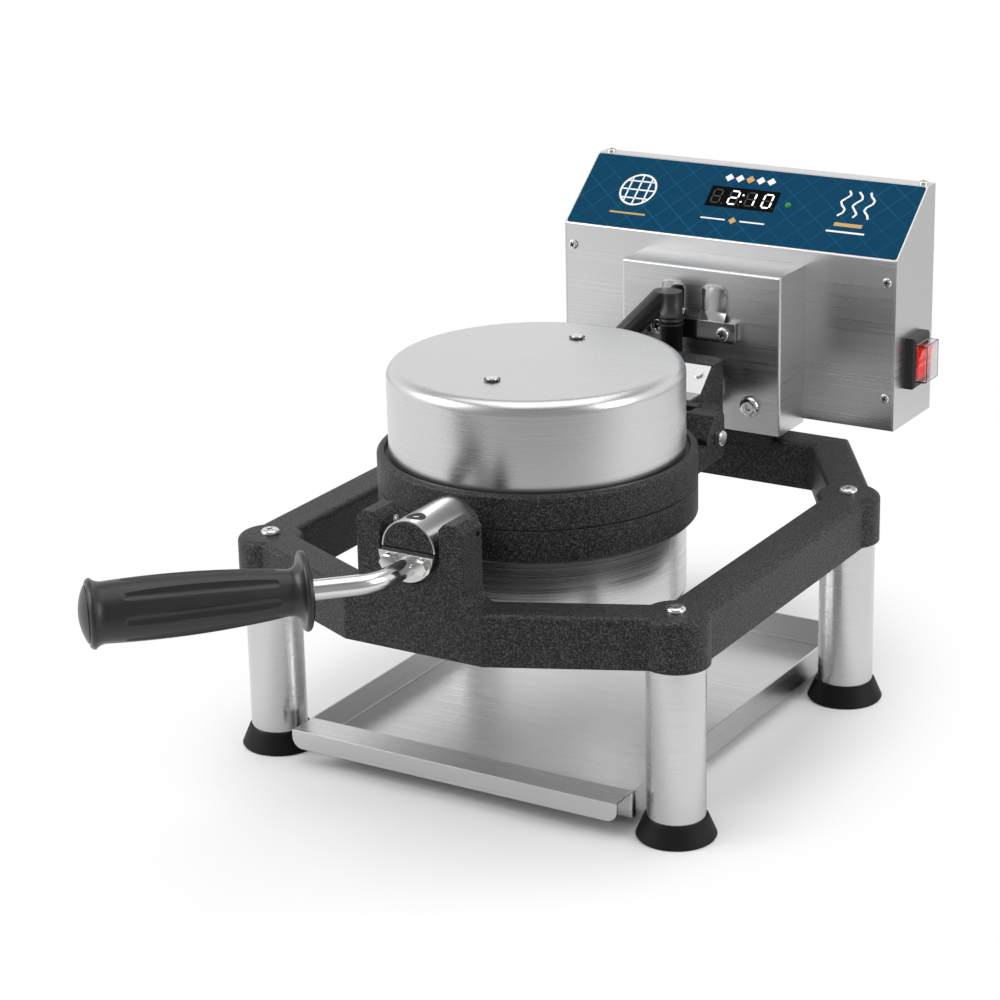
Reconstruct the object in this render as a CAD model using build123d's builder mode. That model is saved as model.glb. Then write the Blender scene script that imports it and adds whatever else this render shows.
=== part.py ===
"""Rotating waffle maker: a round iron that turns over in a cast frame on four legs.

Millimetres. +Z is up, the handle is at -Y and the control box at +Y. The origin is on the floor,
under the middle of the whole machine, and X = 0 is the plane that the machine is symmetric about.
"""
import os
from math import atan2, cos, hypot, radians, sin

from build123d import *

os.makedirs("parts", exist_ok=True)

# Clearances
running_gap = 0.05
seat_gap = 0.02
parting_gap = 0.3

# Sheet metal and screws
sheet = 1.2
bend = 1.8
screw_r = 2.0
screw_head_r = 4.0
screw_head_high = 2.2

# Legs and feet
leg_span_x = 306
leg_span_y = 254
leg_mid_y = 24
leg_r = 19.05
leg_wall = 1.5
leg_low_z = 4
foot_r = 26
foot_rim_r = 20.6
foot_high = 14.5
foot_rim_high = 1.6
leg_screw_r = 3
leg_screw_head_r = 6.5
leg_screw_head_high = 3.2
plug_long = 20

# Frame casting
frame_top_z = 152
frame_deep = 34
bar_wide = 29
side_bar_out = 2.7
pad_r = 22
pad_recess = 6
frame_round = 4.5
front_bar_y = -152.5
front_knee_x = 48
back_bar_y = 246.2
back_knee_x = 95.7

# Turning axis, front yoke and its lining
axis_z = 187
trunnion_r = 19.5
trunnion_proud = 1.2
lining_wall = 2.3
yoke_half = 39
yoke_deep = 23
yoke_top_z = 207.6
yoke_chamfer = 5
yoke_foot_round = 12
plunger_r = 3
plunger_nose_r = 1.9
plunger_long = 13
plunger_up = 11
plunger_inset = 4.4
plunger_proud = 1.1

# Iron
iron_y = -9
ring_r = 106.5
ring_high = 23
ring_wall = 13
ring_lip = 5
grid_rim_r = 93.3
grid_high = 18
grid_cavity_r = 88.5
grid_floor = 13.5
peg_base = 12.4
peg_pitch = 18
peg_taper = 14
cover_r = 98.6
cover_top = 82.8
cover_wall = 1.0
cover_round = 8.5
cover_screw_out = 55
element_r = 70
element_tube_r = 4
shell_wall = 1.0
handle_plate_thick = 3
handle_bolt_x = 12.4
handle_bolt_drop = 8
handle_bolt_r = 2.5

# Hinge of the upper half
hinge_y = 122
pin_r = 4
pin_head_r = 5.5
pin_head_long = 4.5
lid_knuckle_r = 15
lid_knuckle_in = 22
lid_knuckle_out = 45.5
lug_high = 16
ear_half = 16.5
ear_behind = 10.5
ear_ahead = 16
ear_round = 5
ear_web = 8
ear_in = 46.5
ear_out = 67
tongue_half = 20.5
lid_open = 80

# Hub, shaft and bearing
box_half = 35
box_front_y = 143
box_back_y = 199
box_low_z = 177
box_ledge_z = 201.8
box_slope_y = 161.3
box_slope_run = 17.6
box_corner = 6
box_top_z = 219.4
box_wall = 5
crossbar_half = 13
crossbar_behind = 33
hub_r = 19.5
shaft_r = 12
shaft_bore_r = 7
washer_r = 19
washer_thick = 1.25
housing_front_y = 225.5
housing_half = 64.1
housing_low_z = 157
housing_top_z = 275.4
tower_deep = 23.5
bush_wall = 3
bush_flange_r = 16.5
housing_bolt_x = 40.7
housing_bolt_z = 176.7
housing_bolt_r = 4
housing_bolt_head_r = 7.75
nut_thick = 6.5
magnet_ring_r = 18.5
magnet_ring_thick = 4

# Lead conduit
conduit_r = 8.3
conduit_y = 208
conduit_x = -14.5
conduit_top_z = 263
conduit_flat = 2.5
conduit_seat_up = 18
conduit_boss_wall = 2.5

# Bracket on the housing
bracket_mid_x = -5
bracket_half = 36.3
bracket_low_z = 223.8
bracket_shelf_z = 238.6
bracket_top_z = 264
bracket_proud = 6
tongue_in = 6.8
tongue_wide = 20

# Control box
case_half = 135.4
case_front_y = 266.4
case_back_y = 332.8
case_low_z = 159.7
case_top_z = 329.3
case_top_deep = 12.8
case_slope_drop = 43.1
flange = 13
label_side_margin = 3.1
label_margin = 3.8
label_thick = 0.5
window_wide = 56
window_high = 18.8
window_x = -1.6
window_up = 39.2
lamp_x = 35.8
lamp_up = 38.2
lamp_r = 2.5
relay_long = 24
relay_wide = 18
relay_high = 15

# Rocker switch on the right side
switch_forward = 0.6
switch_up = 46.3
bezel_wide = 28
bezel_high = 38
bezel_proud = 7.6
rocker_wide = 18.6
rocker_high = 22.6
rocker_tilt = 8
rocker_back_r = 6
boot_wide = 22
boot_high = 28
boot_proud = 8
boot_wall = 1

# Handle
rod_r = 6.5
rod_drop = 10
rod_corner_y = -203
rod_bend = 38
rod_in_ring = 24
grip_start = 42.5
grip_long = 140.5
guard_r = 25
grip_waist_r = 14.2
grip_belly_r = 19.1
grip_neck_r = 18.9
flare_r = 21.7
cap_r = 17.6
cap_dome = 4.5
flute_count = 8
flute_r = 5
flute_depth = 0.9
flute_start = 22
flute_short = 28.5

# Drip tray
tray_half = 124.3
tray_front_y = -107
tray_back_y = 216
tray_low_z = 5
tray_rim_z = 25
tray_flange = 22
tray_apron = 13

leg_x = leg_span_x / 2
leg_front_y = leg_mid_y - leg_span_y / 2
leg_back_y = leg_mid_y + leg_span_y / 2
leg_places = {
    "front_left": (-leg_x, leg_front_y),
    "front_right": (leg_x, leg_front_y),
    "back_left": (-leg_x, leg_back_y),
    "back_right": (leg_x, leg_back_y),
}
frame_low_z = frame_top_z - frame_deep
leg_top_z = frame_low_z + pad_recess
yoke_gap = trunnion_r + running_gap + lining_wall
yoke_front_y = front_bar_y - bar_wide / 2
yoke_back_y = yoke_front_y + yoke_deep
trunnion_front_y = yoke_front_y - trunnion_proud
plunger_y = yoke_back_y - plunger_inset
plunger_z = axis_z + plunger_up
tower_front_y = housing_front_y + sheet
tower_back_y = tower_front_y + tower_deep
bush_r = shaft_r + running_gap + bush_wall
hub_back_y = housing_front_y - 2 * washer_thick - 0.3
iron_axis = Axis((0, iron_y, axis_z), (0, 0, 1))
case_knee_z = case_top_z - case_slope_drop
case_slope_back_y = case_back_y - case_top_deep
label_half = case_half - label_side_margin
switch_y = (case_front_y + case_back_y) / 2 - switch_forward
switch_z = case_low_z + switch_up
slope_y = case_slope_back_y - case_front_y
slope_z = case_top_z - case_knee_z
slope_long = hypot(slope_y, slope_z)
slope_plane = Plane(
    origin=(0, case_front_y, case_knee_z), x_dir=(1, 0, 0), z_dir=(0, -slope_z, slope_y)
)


def at_y(y, up_from=0.0, x=0.0):
    """A sketch plane across the machine: local x is X, local y is up, extrusions go to the front."""
    return Plane(origin=(x, y, up_from), x_dir=(1, 0, 0), z_dir=(0, -1, 0))


def save(piece, name):
    """Label a finished piece and write it as its own node."""
    piece.part.label = name
    export_step(piece.part, f"parts/{name}.step")


# Frame casting
ring_points = [
    (-front_knee_x, front_bar_y),
    (front_knee_x, front_bar_y),
    (leg_x + side_bar_out, leg_front_y),
    (leg_x + side_bar_out, leg_back_y),
    (back_knee_x, back_bar_y),
    (-back_knee_x, back_bar_y),
    (-leg_x - side_bar_out, leg_back_y),
    (-leg_x - side_bar_out, leg_front_y),
]
tower_outline = [(-54, frame_top_z - 4), (54, frame_top_z - 4), (52, axis_z - 4), (27, axis_z + 29)]
tower_outline += [(-27, axis_z + 29), (-52, axis_z - 4)]

with BuildPart() as frame_casting:
    with BuildSketch(Plane.XY.offset(frame_low_z)):
        with BuildLine():
            Polyline(*ring_points, close=True)
        trace(line_width=bar_wide)
        with Locations(*ring_points):
            Circle(bar_wide / 2)
        with Locations(*leg_places.values()):
            Circle(pad_r)
    extrude(amount=frame_deep)
    fillet(frame_casting.faces().sort_by(Axis.Z)[-1].edges(), frame_round)
    with BuildSketch(at_y(yoke_back_y)):
        with Locations((0, (frame_low_z + frame_top_z) / 2)):
            Rectangle(2 * (yoke_half + yoke_foot_round), frame_deep)
        with Locations((0, (frame_top_z + yoke_top_z) / 2)):
            Rectangle(2 * yoke_half, yoke_top_z - frame_top_z)
        inner_corners = vertices().filter_by_position(
            Axis.Y, frame_top_z - 0.1, frame_top_z + 0.1
        ).filter_by_position(Axis.X, -yoke_half - 1, yoke_half + 1)
        fillet(inner_corners, yoke_foot_round)
        chamfer(vertices().group_by(Axis.Y)[-1], yoke_chamfer)
        with Locations((0, axis_z)):
            Circle(yoke_gap, mode=Mode.SUBTRACT)
        with Locations((0, (axis_z + yoke_top_z + 5) / 2)):
            Rectangle(2 * yoke_gap, yoke_top_z + 5 - axis_z, mode=Mode.SUBTRACT)
        chamfer(vertices().group_by(Axis.Y)[-1].sort_by(Axis.X)[1:3], yoke_chamfer - 1)
    extrude(amount=yoke_back_y - yoke_front_y)
    with BuildSketch(at_y(tower_back_y)):
        with BuildLine():
            Polyline(*tower_outline, close=True)
        make_face()
        fillet(vertices().group_by(Axis.Y)[-1], 8)
        with Locations((0, axis_z)):
            Circle(bush_r, mode=Mode.SUBTRACT)
    extrude(amount=tower_deep)
    with Locations(*[(x, y, leg_top_z) for x, y in leg_places.values()]):
        Cylinder(
            leg_r + seat_gap, pad_recess + 1, align=(Align.CENTER, Align.CENTER, Align.MAX),
            mode=Mode.SUBTRACT,
        )
        Cylinder(
            leg_screw_r + 0.2, frame_deep, align=(Align.CENTER, Align.CENTER, Align.MIN),
            mode=Mode.SUBTRACT,
        )
    with BuildSketch(at_y(tower_front_y + 18, axis_z)):
        with Locations(
            (-housing_bolt_x, housing_bolt_z - axis_z), (housing_bolt_x, housing_bolt_z - axis_z)
        ):
            Circle(housing_bolt_r + seat_gap)
    extrude(amount=18.5, mode=Mode.SUBTRACT)
    with BuildSketch(Plane.YZ):
        with Locations((plunger_y, plunger_z)):
            Circle(plunger_r + seat_gap)
    extrude(amount=yoke_gap + plunger_long, both=True, mode=Mode.SUBTRACT)
    with BuildSketch(Plane.YZ):
        with Locations((plunger_y, plunger_z)):
            Circle(plunger_nose_r)
    extrude(amount=yoke_half + 1, both=True, mode=Mode.SUBTRACT)
save(frame_casting, "frame_casting")

with BuildPart() as yoke_lining:
    with BuildSketch(at_y(yoke_back_y, axis_z)):
        Circle(yoke_gap - seat_gap)
        Circle(trunnion_r + running_gap, mode=Mode.SUBTRACT)
        with Locations((0, yoke_gap)):
            Rectangle(2 * yoke_gap + 2, 2 * yoke_gap, mode=Mode.SUBTRACT)
    extrude(amount=yoke_back_y - yoke_front_y - 1.2)
save(yoke_lining, "yoke_lining")

# Spring plungers: a threaded barrel in each post and a nose that slides in it
with BuildPart() as plunger_barrels:
    with BuildSketch(Plane.YZ.offset(yoke_gap - 0.5)):
        with Locations((plunger_y, plunger_z)):
            Circle(plunger_r)
            Circle(plunger_nose_r + running_gap, mode=Mode.SUBTRACT)
    extrude(amount=plunger_long)
    mirror(about=Plane.YZ)
save(plunger_barrels, "plunger_barrels")

for side, name in ((-1, "plunger_nose_left"), (1, "plunger_nose_right")):
    with BuildPart() as plunger_nose:
        with BuildSketch(Plane.YZ.offset(side * (yoke_gap - plunger_proud))):
            with Locations((plunger_y, plunger_z)):
                Circle(plunger_nose_r)
        extrude(amount=side * plunger_long * 0.6)
        fillet(plunger_nose.edges().sort_by(Axis.X)[0 if side > 0 else -1], plunger_nose_r * 0.6)
    save(plunger_nose, name)

# Legs, feet, their screws and plugs
for place, (x, y) in leg_places.items():
    with BuildPart() as leg:
        with BuildSketch(Plane.XY.offset(leg_low_z)):
            with Locations((x, y)):
                Circle(leg_r)
                Circle(leg_r - leg_wall, mode=Mode.SUBTRACT)
        extrude(amount=leg_top_z - leg_low_z)
    save(leg, f"leg_{place}")

    with BuildPart() as foot:
        with BuildSketch(Plane(origin=(x, y, 0), x_dir=(1, 0, 0), z_dir=(0, -1, 0))):
            with BuildLine():
                Polyline(
                    (0, 0), (foot_r - 1, 0), (foot_r, foot_rim_high), (foot_rim_r + 0.3, foot_high - 0.8),
                    (foot_rim_r - 0.4, foot_high), (leg_r + seat_gap, foot_high),
                    (leg_r + seat_gap, leg_low_z), (0, leg_low_z), (0, 0),
                )
            make_face()
        revolve(axis=Axis((x, y, 0), (0, 0, 1)))
    save(foot, f"foot_{place}")

with BuildPart() as leg_plugs:
    with BuildSketch(Plane.XY.offset(leg_top_z - plug_long)):
        with Locations(*leg_places.values()):
            Circle(leg_r - leg_wall - seat_gap)
            Circle(leg_screw_r, mode=Mode.SUBTRACT)
    extrude(amount=plug_long)
save(leg_plugs, "leg_plugs")

with BuildPart() as leg_screws:
    with BuildSketch(Plane.XY.offset(leg_top_z - plug_long)):
        with Locations(*leg_places.values()):
            Circle(leg_screw_r - seat_gap)
    extrude(amount=frame_top_z - leg_top_z + plug_long)
    with BuildSketch(Plane.XY.offset(frame_top_z)):
        with Locations(*leg_places.values()):
            Circle(leg_screw_head_r)
    extrude(amount=leg_screw_head_high)
    fillet(leg_screws.faces().group_by(Axis.Z)[-1].edges(), leg_screw_head_high * 0.8)
    with BuildSketch(Plane.XY.offset(frame_top_z + leg_screw_head_high)):
        with Locations(*leg_places.values()):
            Rectangle(6, 1.4)
            Rectangle(1.4, 6)
    extrude(amount=-1.6, mode=Mode.SUBTRACT)
save(leg_screws, "leg_screws")


# Iron castings
def half_iron_ring(up):
    """Ring casting of one half, with the half round of its front trunnion; up is 1 or -1."""
    core_r = trunnion_r - shell_wall if up > 0 else trunnion_r
    core_front_y = trunnion_front_y if up > 0 else trunnion_front_y - 0.5
    inner_r = ring_r - ring_wall
    profile = [
        (inner_r, parting_gap), (ring_r, parting_gap), (ring_r, ring_high - 2),
        (ring_r - 2, ring_high), (ring_r - ring_lip, ring_high), (ring_r - ring_lip - 0.6, ring_high - 3),
        (inner_r - 7.5, ring_high - 3), (inner_r - 7.5, grid_high + 0.2), (inner_r, grid_high + 0.2),
    ]
    with BuildPart() as casting:
        with BuildSketch(at_y(iron_y - ring_r + 6, axis_z)):
            Circle(core_r)
            with Locations((0, up * (parting_gap - trunnion_r))):
                Rectangle(3 * trunnion_r, 2 * trunnion_r, mode=Mode.SUBTRACT)
        extrude(amount=iron_y - ring_r + 6 - core_front_y)
        if up > 0:
            with BuildSketch(Plane.YZ.offset(lid_knuckle_in)):
                with Locations((hinge_y, axis_z)):
                    Circle(lid_knuckle_r)
                with BuildLine():
                    Polyline(
                        (iron_y + ring_r - 25, axis_z + parting_gap), (hinge_y, axis_z + parting_gap),
                        (hinge_y, axis_z + lid_knuckle_r), (hinge_y - 8, axis_z + lug_high),
                        (iron_y + ring_r - 25, axis_z + lug_high), close=True,
                    )
                make_face()
            extrude(amount=lid_knuckle_out - lid_knuckle_in)
            mirror(about=Plane.YZ)
            with BuildSketch(Plane.YZ):
                with Locations((hinge_y, axis_z)):
                    Circle(pin_r + running_gap)
            extrude(amount=lid_knuckle_out + 1, both=True, mode=Mode.SUBTRACT)
        with Locations((0, iron_y, axis_z)):
            Cylinder(ring_r - 5, 3 * ring_high, mode=Mode.SUBTRACT)
        with BuildSketch(at_y(iron_y, axis_z)):
            with BuildLine():
                Polyline(*[(r, up * h) for r, h in profile], close=True)
            make_face()
        revolve(axis=iron_axis)
        if up < 0:
            with BuildSketch(at_y(core_front_y + 26, axis_z)):
                with Locations((0, -rod_drop)):
                    Circle(rod_r + seat_gap)
                with Locations(*handle_bolt_places):
                    Circle(handle_bolt_r + seat_gap)
            extrude(amount=26, mode=Mode.SUBTRACT)
    return casting


handle_bolt_places = [(-handle_bolt_x, -handle_bolt_drop), (handle_bolt_x, -handle_bolt_drop)]

upper_ring = half_iron_ring(1)
save(upper_ring, "upper_ring")
lower_ring = half_iron_ring(-1)
save(lower_ring, "lower_ring")


def half_iron_cover(up):
    """Drawn cover of one half."""
    floor_h = ring_high - 3 + seat_gap
    with BuildPart() as cover:
        with BuildSketch(at_y(iron_y, axis_z)):
            with BuildLine():
                Polyline(
                    (0, up * floor_h), (cover_r, up * floor_h), (cover_r, up * (cover_top - 1.5)),
                    (0, up * cover_top), close=True,
                )
            make_face()
            fillet(vertices().sort_by(Axis.X).group_by(Axis.X)[-1].sort_by(Axis.Y)[-1 if up > 0 else 0],
                   cover_round)
        revolve(axis=iron_axis)
        offset(amount=-cover_wall, openings=cover.faces().sort_by(Axis.Z)[0 if up > 0 else -1])
        with Locations((0, iron_y - cover_screw_out, axis_z), (0, iron_y + cover_screw_out, axis_z)):
            Cylinder(screw_r + 0.3, 2.2 * cover_top, mode=Mode.SUBTRACT)
    return cover


def cover_screws(up):
    """Long screws that hold a cover against the back of its grid."""
    with BuildPart() as screws:
        with BuildSketch(Plane(origin=(0, iron_y, axis_z + up * (cover_top + 0.1)), z_dir=(0, 0, up))):
            with Locations((0, -cover_screw_out), (0, cover_screw_out)):
                Circle(screw_head_r)
        extrude(amount=1.0)
        with BuildSketch(Plane(origin=(0, iron_y, axis_z + up * (cover_top + 0.1)), z_dir=(0, 0, -up))):
            with Locations((0, -cover_screw_out), (0, cover_screw_out)):
                Circle(screw_r)
        extrude(amount=cover_top + 0.1 - grid_high - seat_gap)
    return screws


upper_cover = half_iron_cover(1)
save(upper_cover, "upper_cover")
lower_cover = half_iron_cover(-1)
save(lower_cover, "lower_cover")


def waffle_grid(up):
    """Cast waffle plate: a shallow pan with rows of tapered pegs."""
    profile = [
        (0, grid_floor), (grid_cavity_r - 3, grid_floor), (grid_cavity_r, parting_gap),
        (grid_rim_r, parting_gap), (grid_rim_r, grid_high), (0, grid_high),
    ]
    rows = int(2 * grid_cavity_r / peg_pitch) + 1
    with BuildPart() as grid:
        with BuildSketch(at_y(iron_y, axis_z)):
            with BuildLine():
                Polyline(*[(r, up * h) for r, h in profile], close=True)
            make_face()
        revolve(axis=iron_axis)
        with BuildSketch(Plane(origin=(0, iron_y, axis_z + up * grid_floor), z_dir=(0, 0, -up))):
            for place in GridLocations(peg_pitch, peg_pitch, rows + rows % 2, rows + rows % 2):
                if hypot(place.position.X, place.position.Y) < grid_cavity_r - peg_base * 0.85:
                    with Locations(place):
                        Rectangle(peg_base, peg_base)
        extrude(amount=grid_floor - 0.8, taper=peg_taper)
    return grid


upper_grid = waffle_grid(1)
save(upper_grid, "upper_grid")
lower_grid = waffle_grid(-1)
save(lower_grid, "lower_grid")


def heating_element(up):
    """Tubular element bent into an open loop against the back of its grid."""
    level = axis_z + up * (grid_high + element_tube_r + 0.1)
    start = radians(120)
    with BuildPart() as element:
        with BuildLine():
            CenterArc((0, iron_y, level), element_r, 120, 300)
        begin = Plane(
            origin=(element_r * cos(start), iron_y + element_r * sin(start), level),
            z_dir=(-sin(start), cos(start), 0),
        )
        with BuildSketch(begin):
            Circle(element_tube_r)
        sweep()
    return element


upper_element = heating_element(1)
save(upper_element, "upper_element")
lower_element = heating_element(-1)
save(lower_element, "lower_element")

# Steel half shell on the upper trunnion
shell_hole_back = 10
shell_front_y = trunnion_front_y
shell_back_y = iron_y - ring_r + 1.5
with BuildPart() as trunnion_shell:
    with BuildSketch(at_y(shell_back_y, axis_z)):
        Circle(trunnion_r)
        Circle(trunnion_r - shell_wall + seat_gap, mode=Mode.SUBTRACT)
        with Locations((0, parting_gap - trunnion_r)):
            Rectangle(3 * trunnion_r, 2 * trunnion_r, mode=Mode.SUBTRACT)
    extrude(amount=shell_back_y - shell_front_y)
    with Locations((0, iron_y, axis_z)):
        Cylinder(ring_r + seat_gap, 3 * ring_high, mode=Mode.SUBTRACT)
    with Locations((0, shell_front_y + shell_hole_back, axis_z + trunnion_r)):
        Cylinder(5.2, 8, mode=Mode.SUBTRACT)
save(trunnion_shell, "trunnion_shell")

with BuildPart() as lid_screws:
    add(cover_screws(1).part)
    with Locations((0, shell_front_y + shell_hole_back, axis_z + trunnion_r - shell_wall)):
        Cylinder(3.2, 0.6 * shell_wall, align=(Align.CENTER, Align.CENTER, Align.MIN))
save(lid_screws, "lid_screws")

# Handle: half-round plate, two bolts, bent rod and grip
plate_back_y = trunnion_front_y - 0.5 - seat_gap
plate_front_y = plate_back_y - handle_plate_thick
with BuildPart() as handle_plate:
    with BuildSketch(at_y(plate_back_y, axis_z)):
        Circle(trunnion_r + 0.5)
        with Locations((0, trunnion_r - 1.5)):
            Rectangle(3 * trunnion_r, 2 * trunnion_r, mode=Mode.SUBTRACT)
        with Locations((0, -rod_drop)):
            Circle(rod_r + seat_gap, mode=Mode.SUBTRACT)
        with Locations(*handle_bolt_places):
            Circle(handle_bolt_r + seat_gap, mode=Mode.SUBTRACT)
    extrude(amount=handle_plate_thick)
save(handle_plate, "handle_plate")

with BuildPart() as handle_bolts:
    with BuildSketch(at_y(plate_front_y, axis_z)):
        with Locations(*handle_bolt_places):
            RegularPolygon(5, 6)
    extrude(amount=4)
    with BuildSketch(at_y(plate_front_y + 22, axis_z)):
        with Locations(*handle_bolt_places):
            Circle(handle_bolt_r)
    extrude(amount=22)
save(handle_bolts, "handle_bolts")

rod_z = axis_z - rod_drop
grip_dir = (-cos(radians(45)), -sin(radians(45)), 0)


def along_handle(t):
    """Point on the grip's axis, t from the corner that the rod's two straight parts would make."""
    return (grip_dir[0] * t, rod_corner_y + grip_dir[1] * t, rod_z)


with BuildPart() as handle_rod:
    with BuildLine():
        FilletPolyline(
            (0, trunnion_front_y + rod_in_ring, rod_z), (0, rod_corner_y, rod_z),
            along_handle(grip_start + grip_long - 12), radius=rod_bend,
        )
    with BuildSketch(at_y(trunnion_front_y + rod_in_ring, rod_z)):
        Circle(rod_r)
    sweep()
save(handle_rod, "handle_rod")

grip_plane = Plane(
    origin=along_handle(grip_start), x_dir=grip_dir, z_dir=(grip_dir[1], -grip_dir[0], 0)
)
grip_axis = Axis(along_handle(grip_start), grip_dir)
grip_frame = Plane(origin=along_handle(grip_start), z_dir=grip_dir)
waist_at = 12
neck_at = grip_long - 16
flare_at = grip_long - 8.5
cap_edge = grip_long - cap_dome
flute_end = grip_long - flute_short

# One flute's cutter: a round bar with round ends, leaning with the grip's taper
with BuildPart() as flute:
    flute_out = flute_r - flute_depth
    with BuildLine():
        flute_line = Line(
            (grip_waist_r + 1.2 + flute_out, 0, flute_start), (grip_neck_r + 0.5 + flute_out, 0, flute_end)
        )
    with BuildSketch(flute_line ^ 0):
        Circle(flute_r)
    sweep()
    with Locations(flute_line @ 0, flute_line @ 1):
        Sphere(flute_r)

with BuildPart() as handle_grip:
    with BuildSketch(grip_plane):
        with BuildLine():
            ThreePointArc((grip_long, 0), (grip_long - cap_dome / 4, cap_r / 2), (cap_edge, cap_r))
            Polyline((cap_edge, cap_r), (cap_edge - 0.8, cap_r), (cap_edge - 0.8, cap_r + 1))
            ThreePointArc(
                (cap_edge - 0.8, cap_r + 1), (flare_at + 2.2, flare_r - 0.9), (flare_at, flare_r)
            )
            ThreePointArc(
                (flare_at, flare_r), ((flare_at + neck_at) / 2 + 1.2, (flare_r + grip_neck_r) / 2 - 0.5),
                (neck_at, grip_neck_r),
            )
            ThreePointArc(
                (neck_at, grip_neck_r), ((neck_at + waist_at) / 2, grip_belly_r), (waist_at, grip_waist_r)
            )
            ThreePointArc(
                (waist_at, grip_waist_r), (waist_at - 4.4, grip_waist_r + 2.8),
                (5.4, guard_r - 1.8),
            )
            ThreePointArc((5.4, guard_r - 1.8), (3.4, guard_r), (1.2, guard_r - 1.8))
            Polyline(
                (1.2, guard_r - 1.8), (0, guard_r - 5), (0, rod_r), (grip_long - 12, rod_r),
                (grip_long - 12, 0), (grip_long, 0),
            )
        make_face()
    revolve(axis=grip_axis)
    with Locations(grip_frame):
        with PolarLocations(0, flute_count):
            add(flute.part, mode=Mode.SUBTRACT)
save(handle_grip, "handle_grip")

# Lead conduit: from the hub, up and over to the left hinge ear
conduit_low_z = axis_z + conduit_seat_up
conduit_path = [
    (conduit_x, conduit_y, conduit_low_z),
    (conduit_x, conduit_y, conduit_top_z),
    (conduit_x - 45.5, conduit_y, conduit_top_z - 47),
    (-(ear_in + ear_out) / 2, hinge_y + 26, axis_z + 2),
]


def conduit_run(radius):
    """The conduit's whole run as a round bar of this radius."""
    with BuildPart() as run:
        with BuildLine():
            Polyline(*conduit_path)
        with BuildSketch(Plane.XY.offset(conduit_low_z)):
            with Locations((conduit_x, conduit_y)):
                Circle(radius)
        sweep(transition=Transition.ROUND)
        split(bisect_by=Plane.XY.offset(conduit_top_z + conduit_flat), keep=Keep.BOTTOM)
    return run.part


with BuildPart() as lead_conduit:
    add(conduit_run(conduit_r))
    with Locations((conduit_x, conduit_y, bracket_shelf_z + 1.3)):
        Cylinder(conduit_r + 0.6, 3)
save(lead_conduit, "lead_conduit")

# Hub casting: wiring box, bearing collar, hinge ears and arms down to the lower ring
lid_stop_gap = 0.4
stop_low_z = axis_z + 7.5
stop_high_z = box_ledge_z


def stop_y(z):
    """Where the opened lid's lug would stand at height z, and its small gap."""
    tilt = radians(lid_open)
    return hinge_y + (lug_high + lid_stop_gap - (z - axis_z) * cos(tilt)) / sin(tilt)


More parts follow.
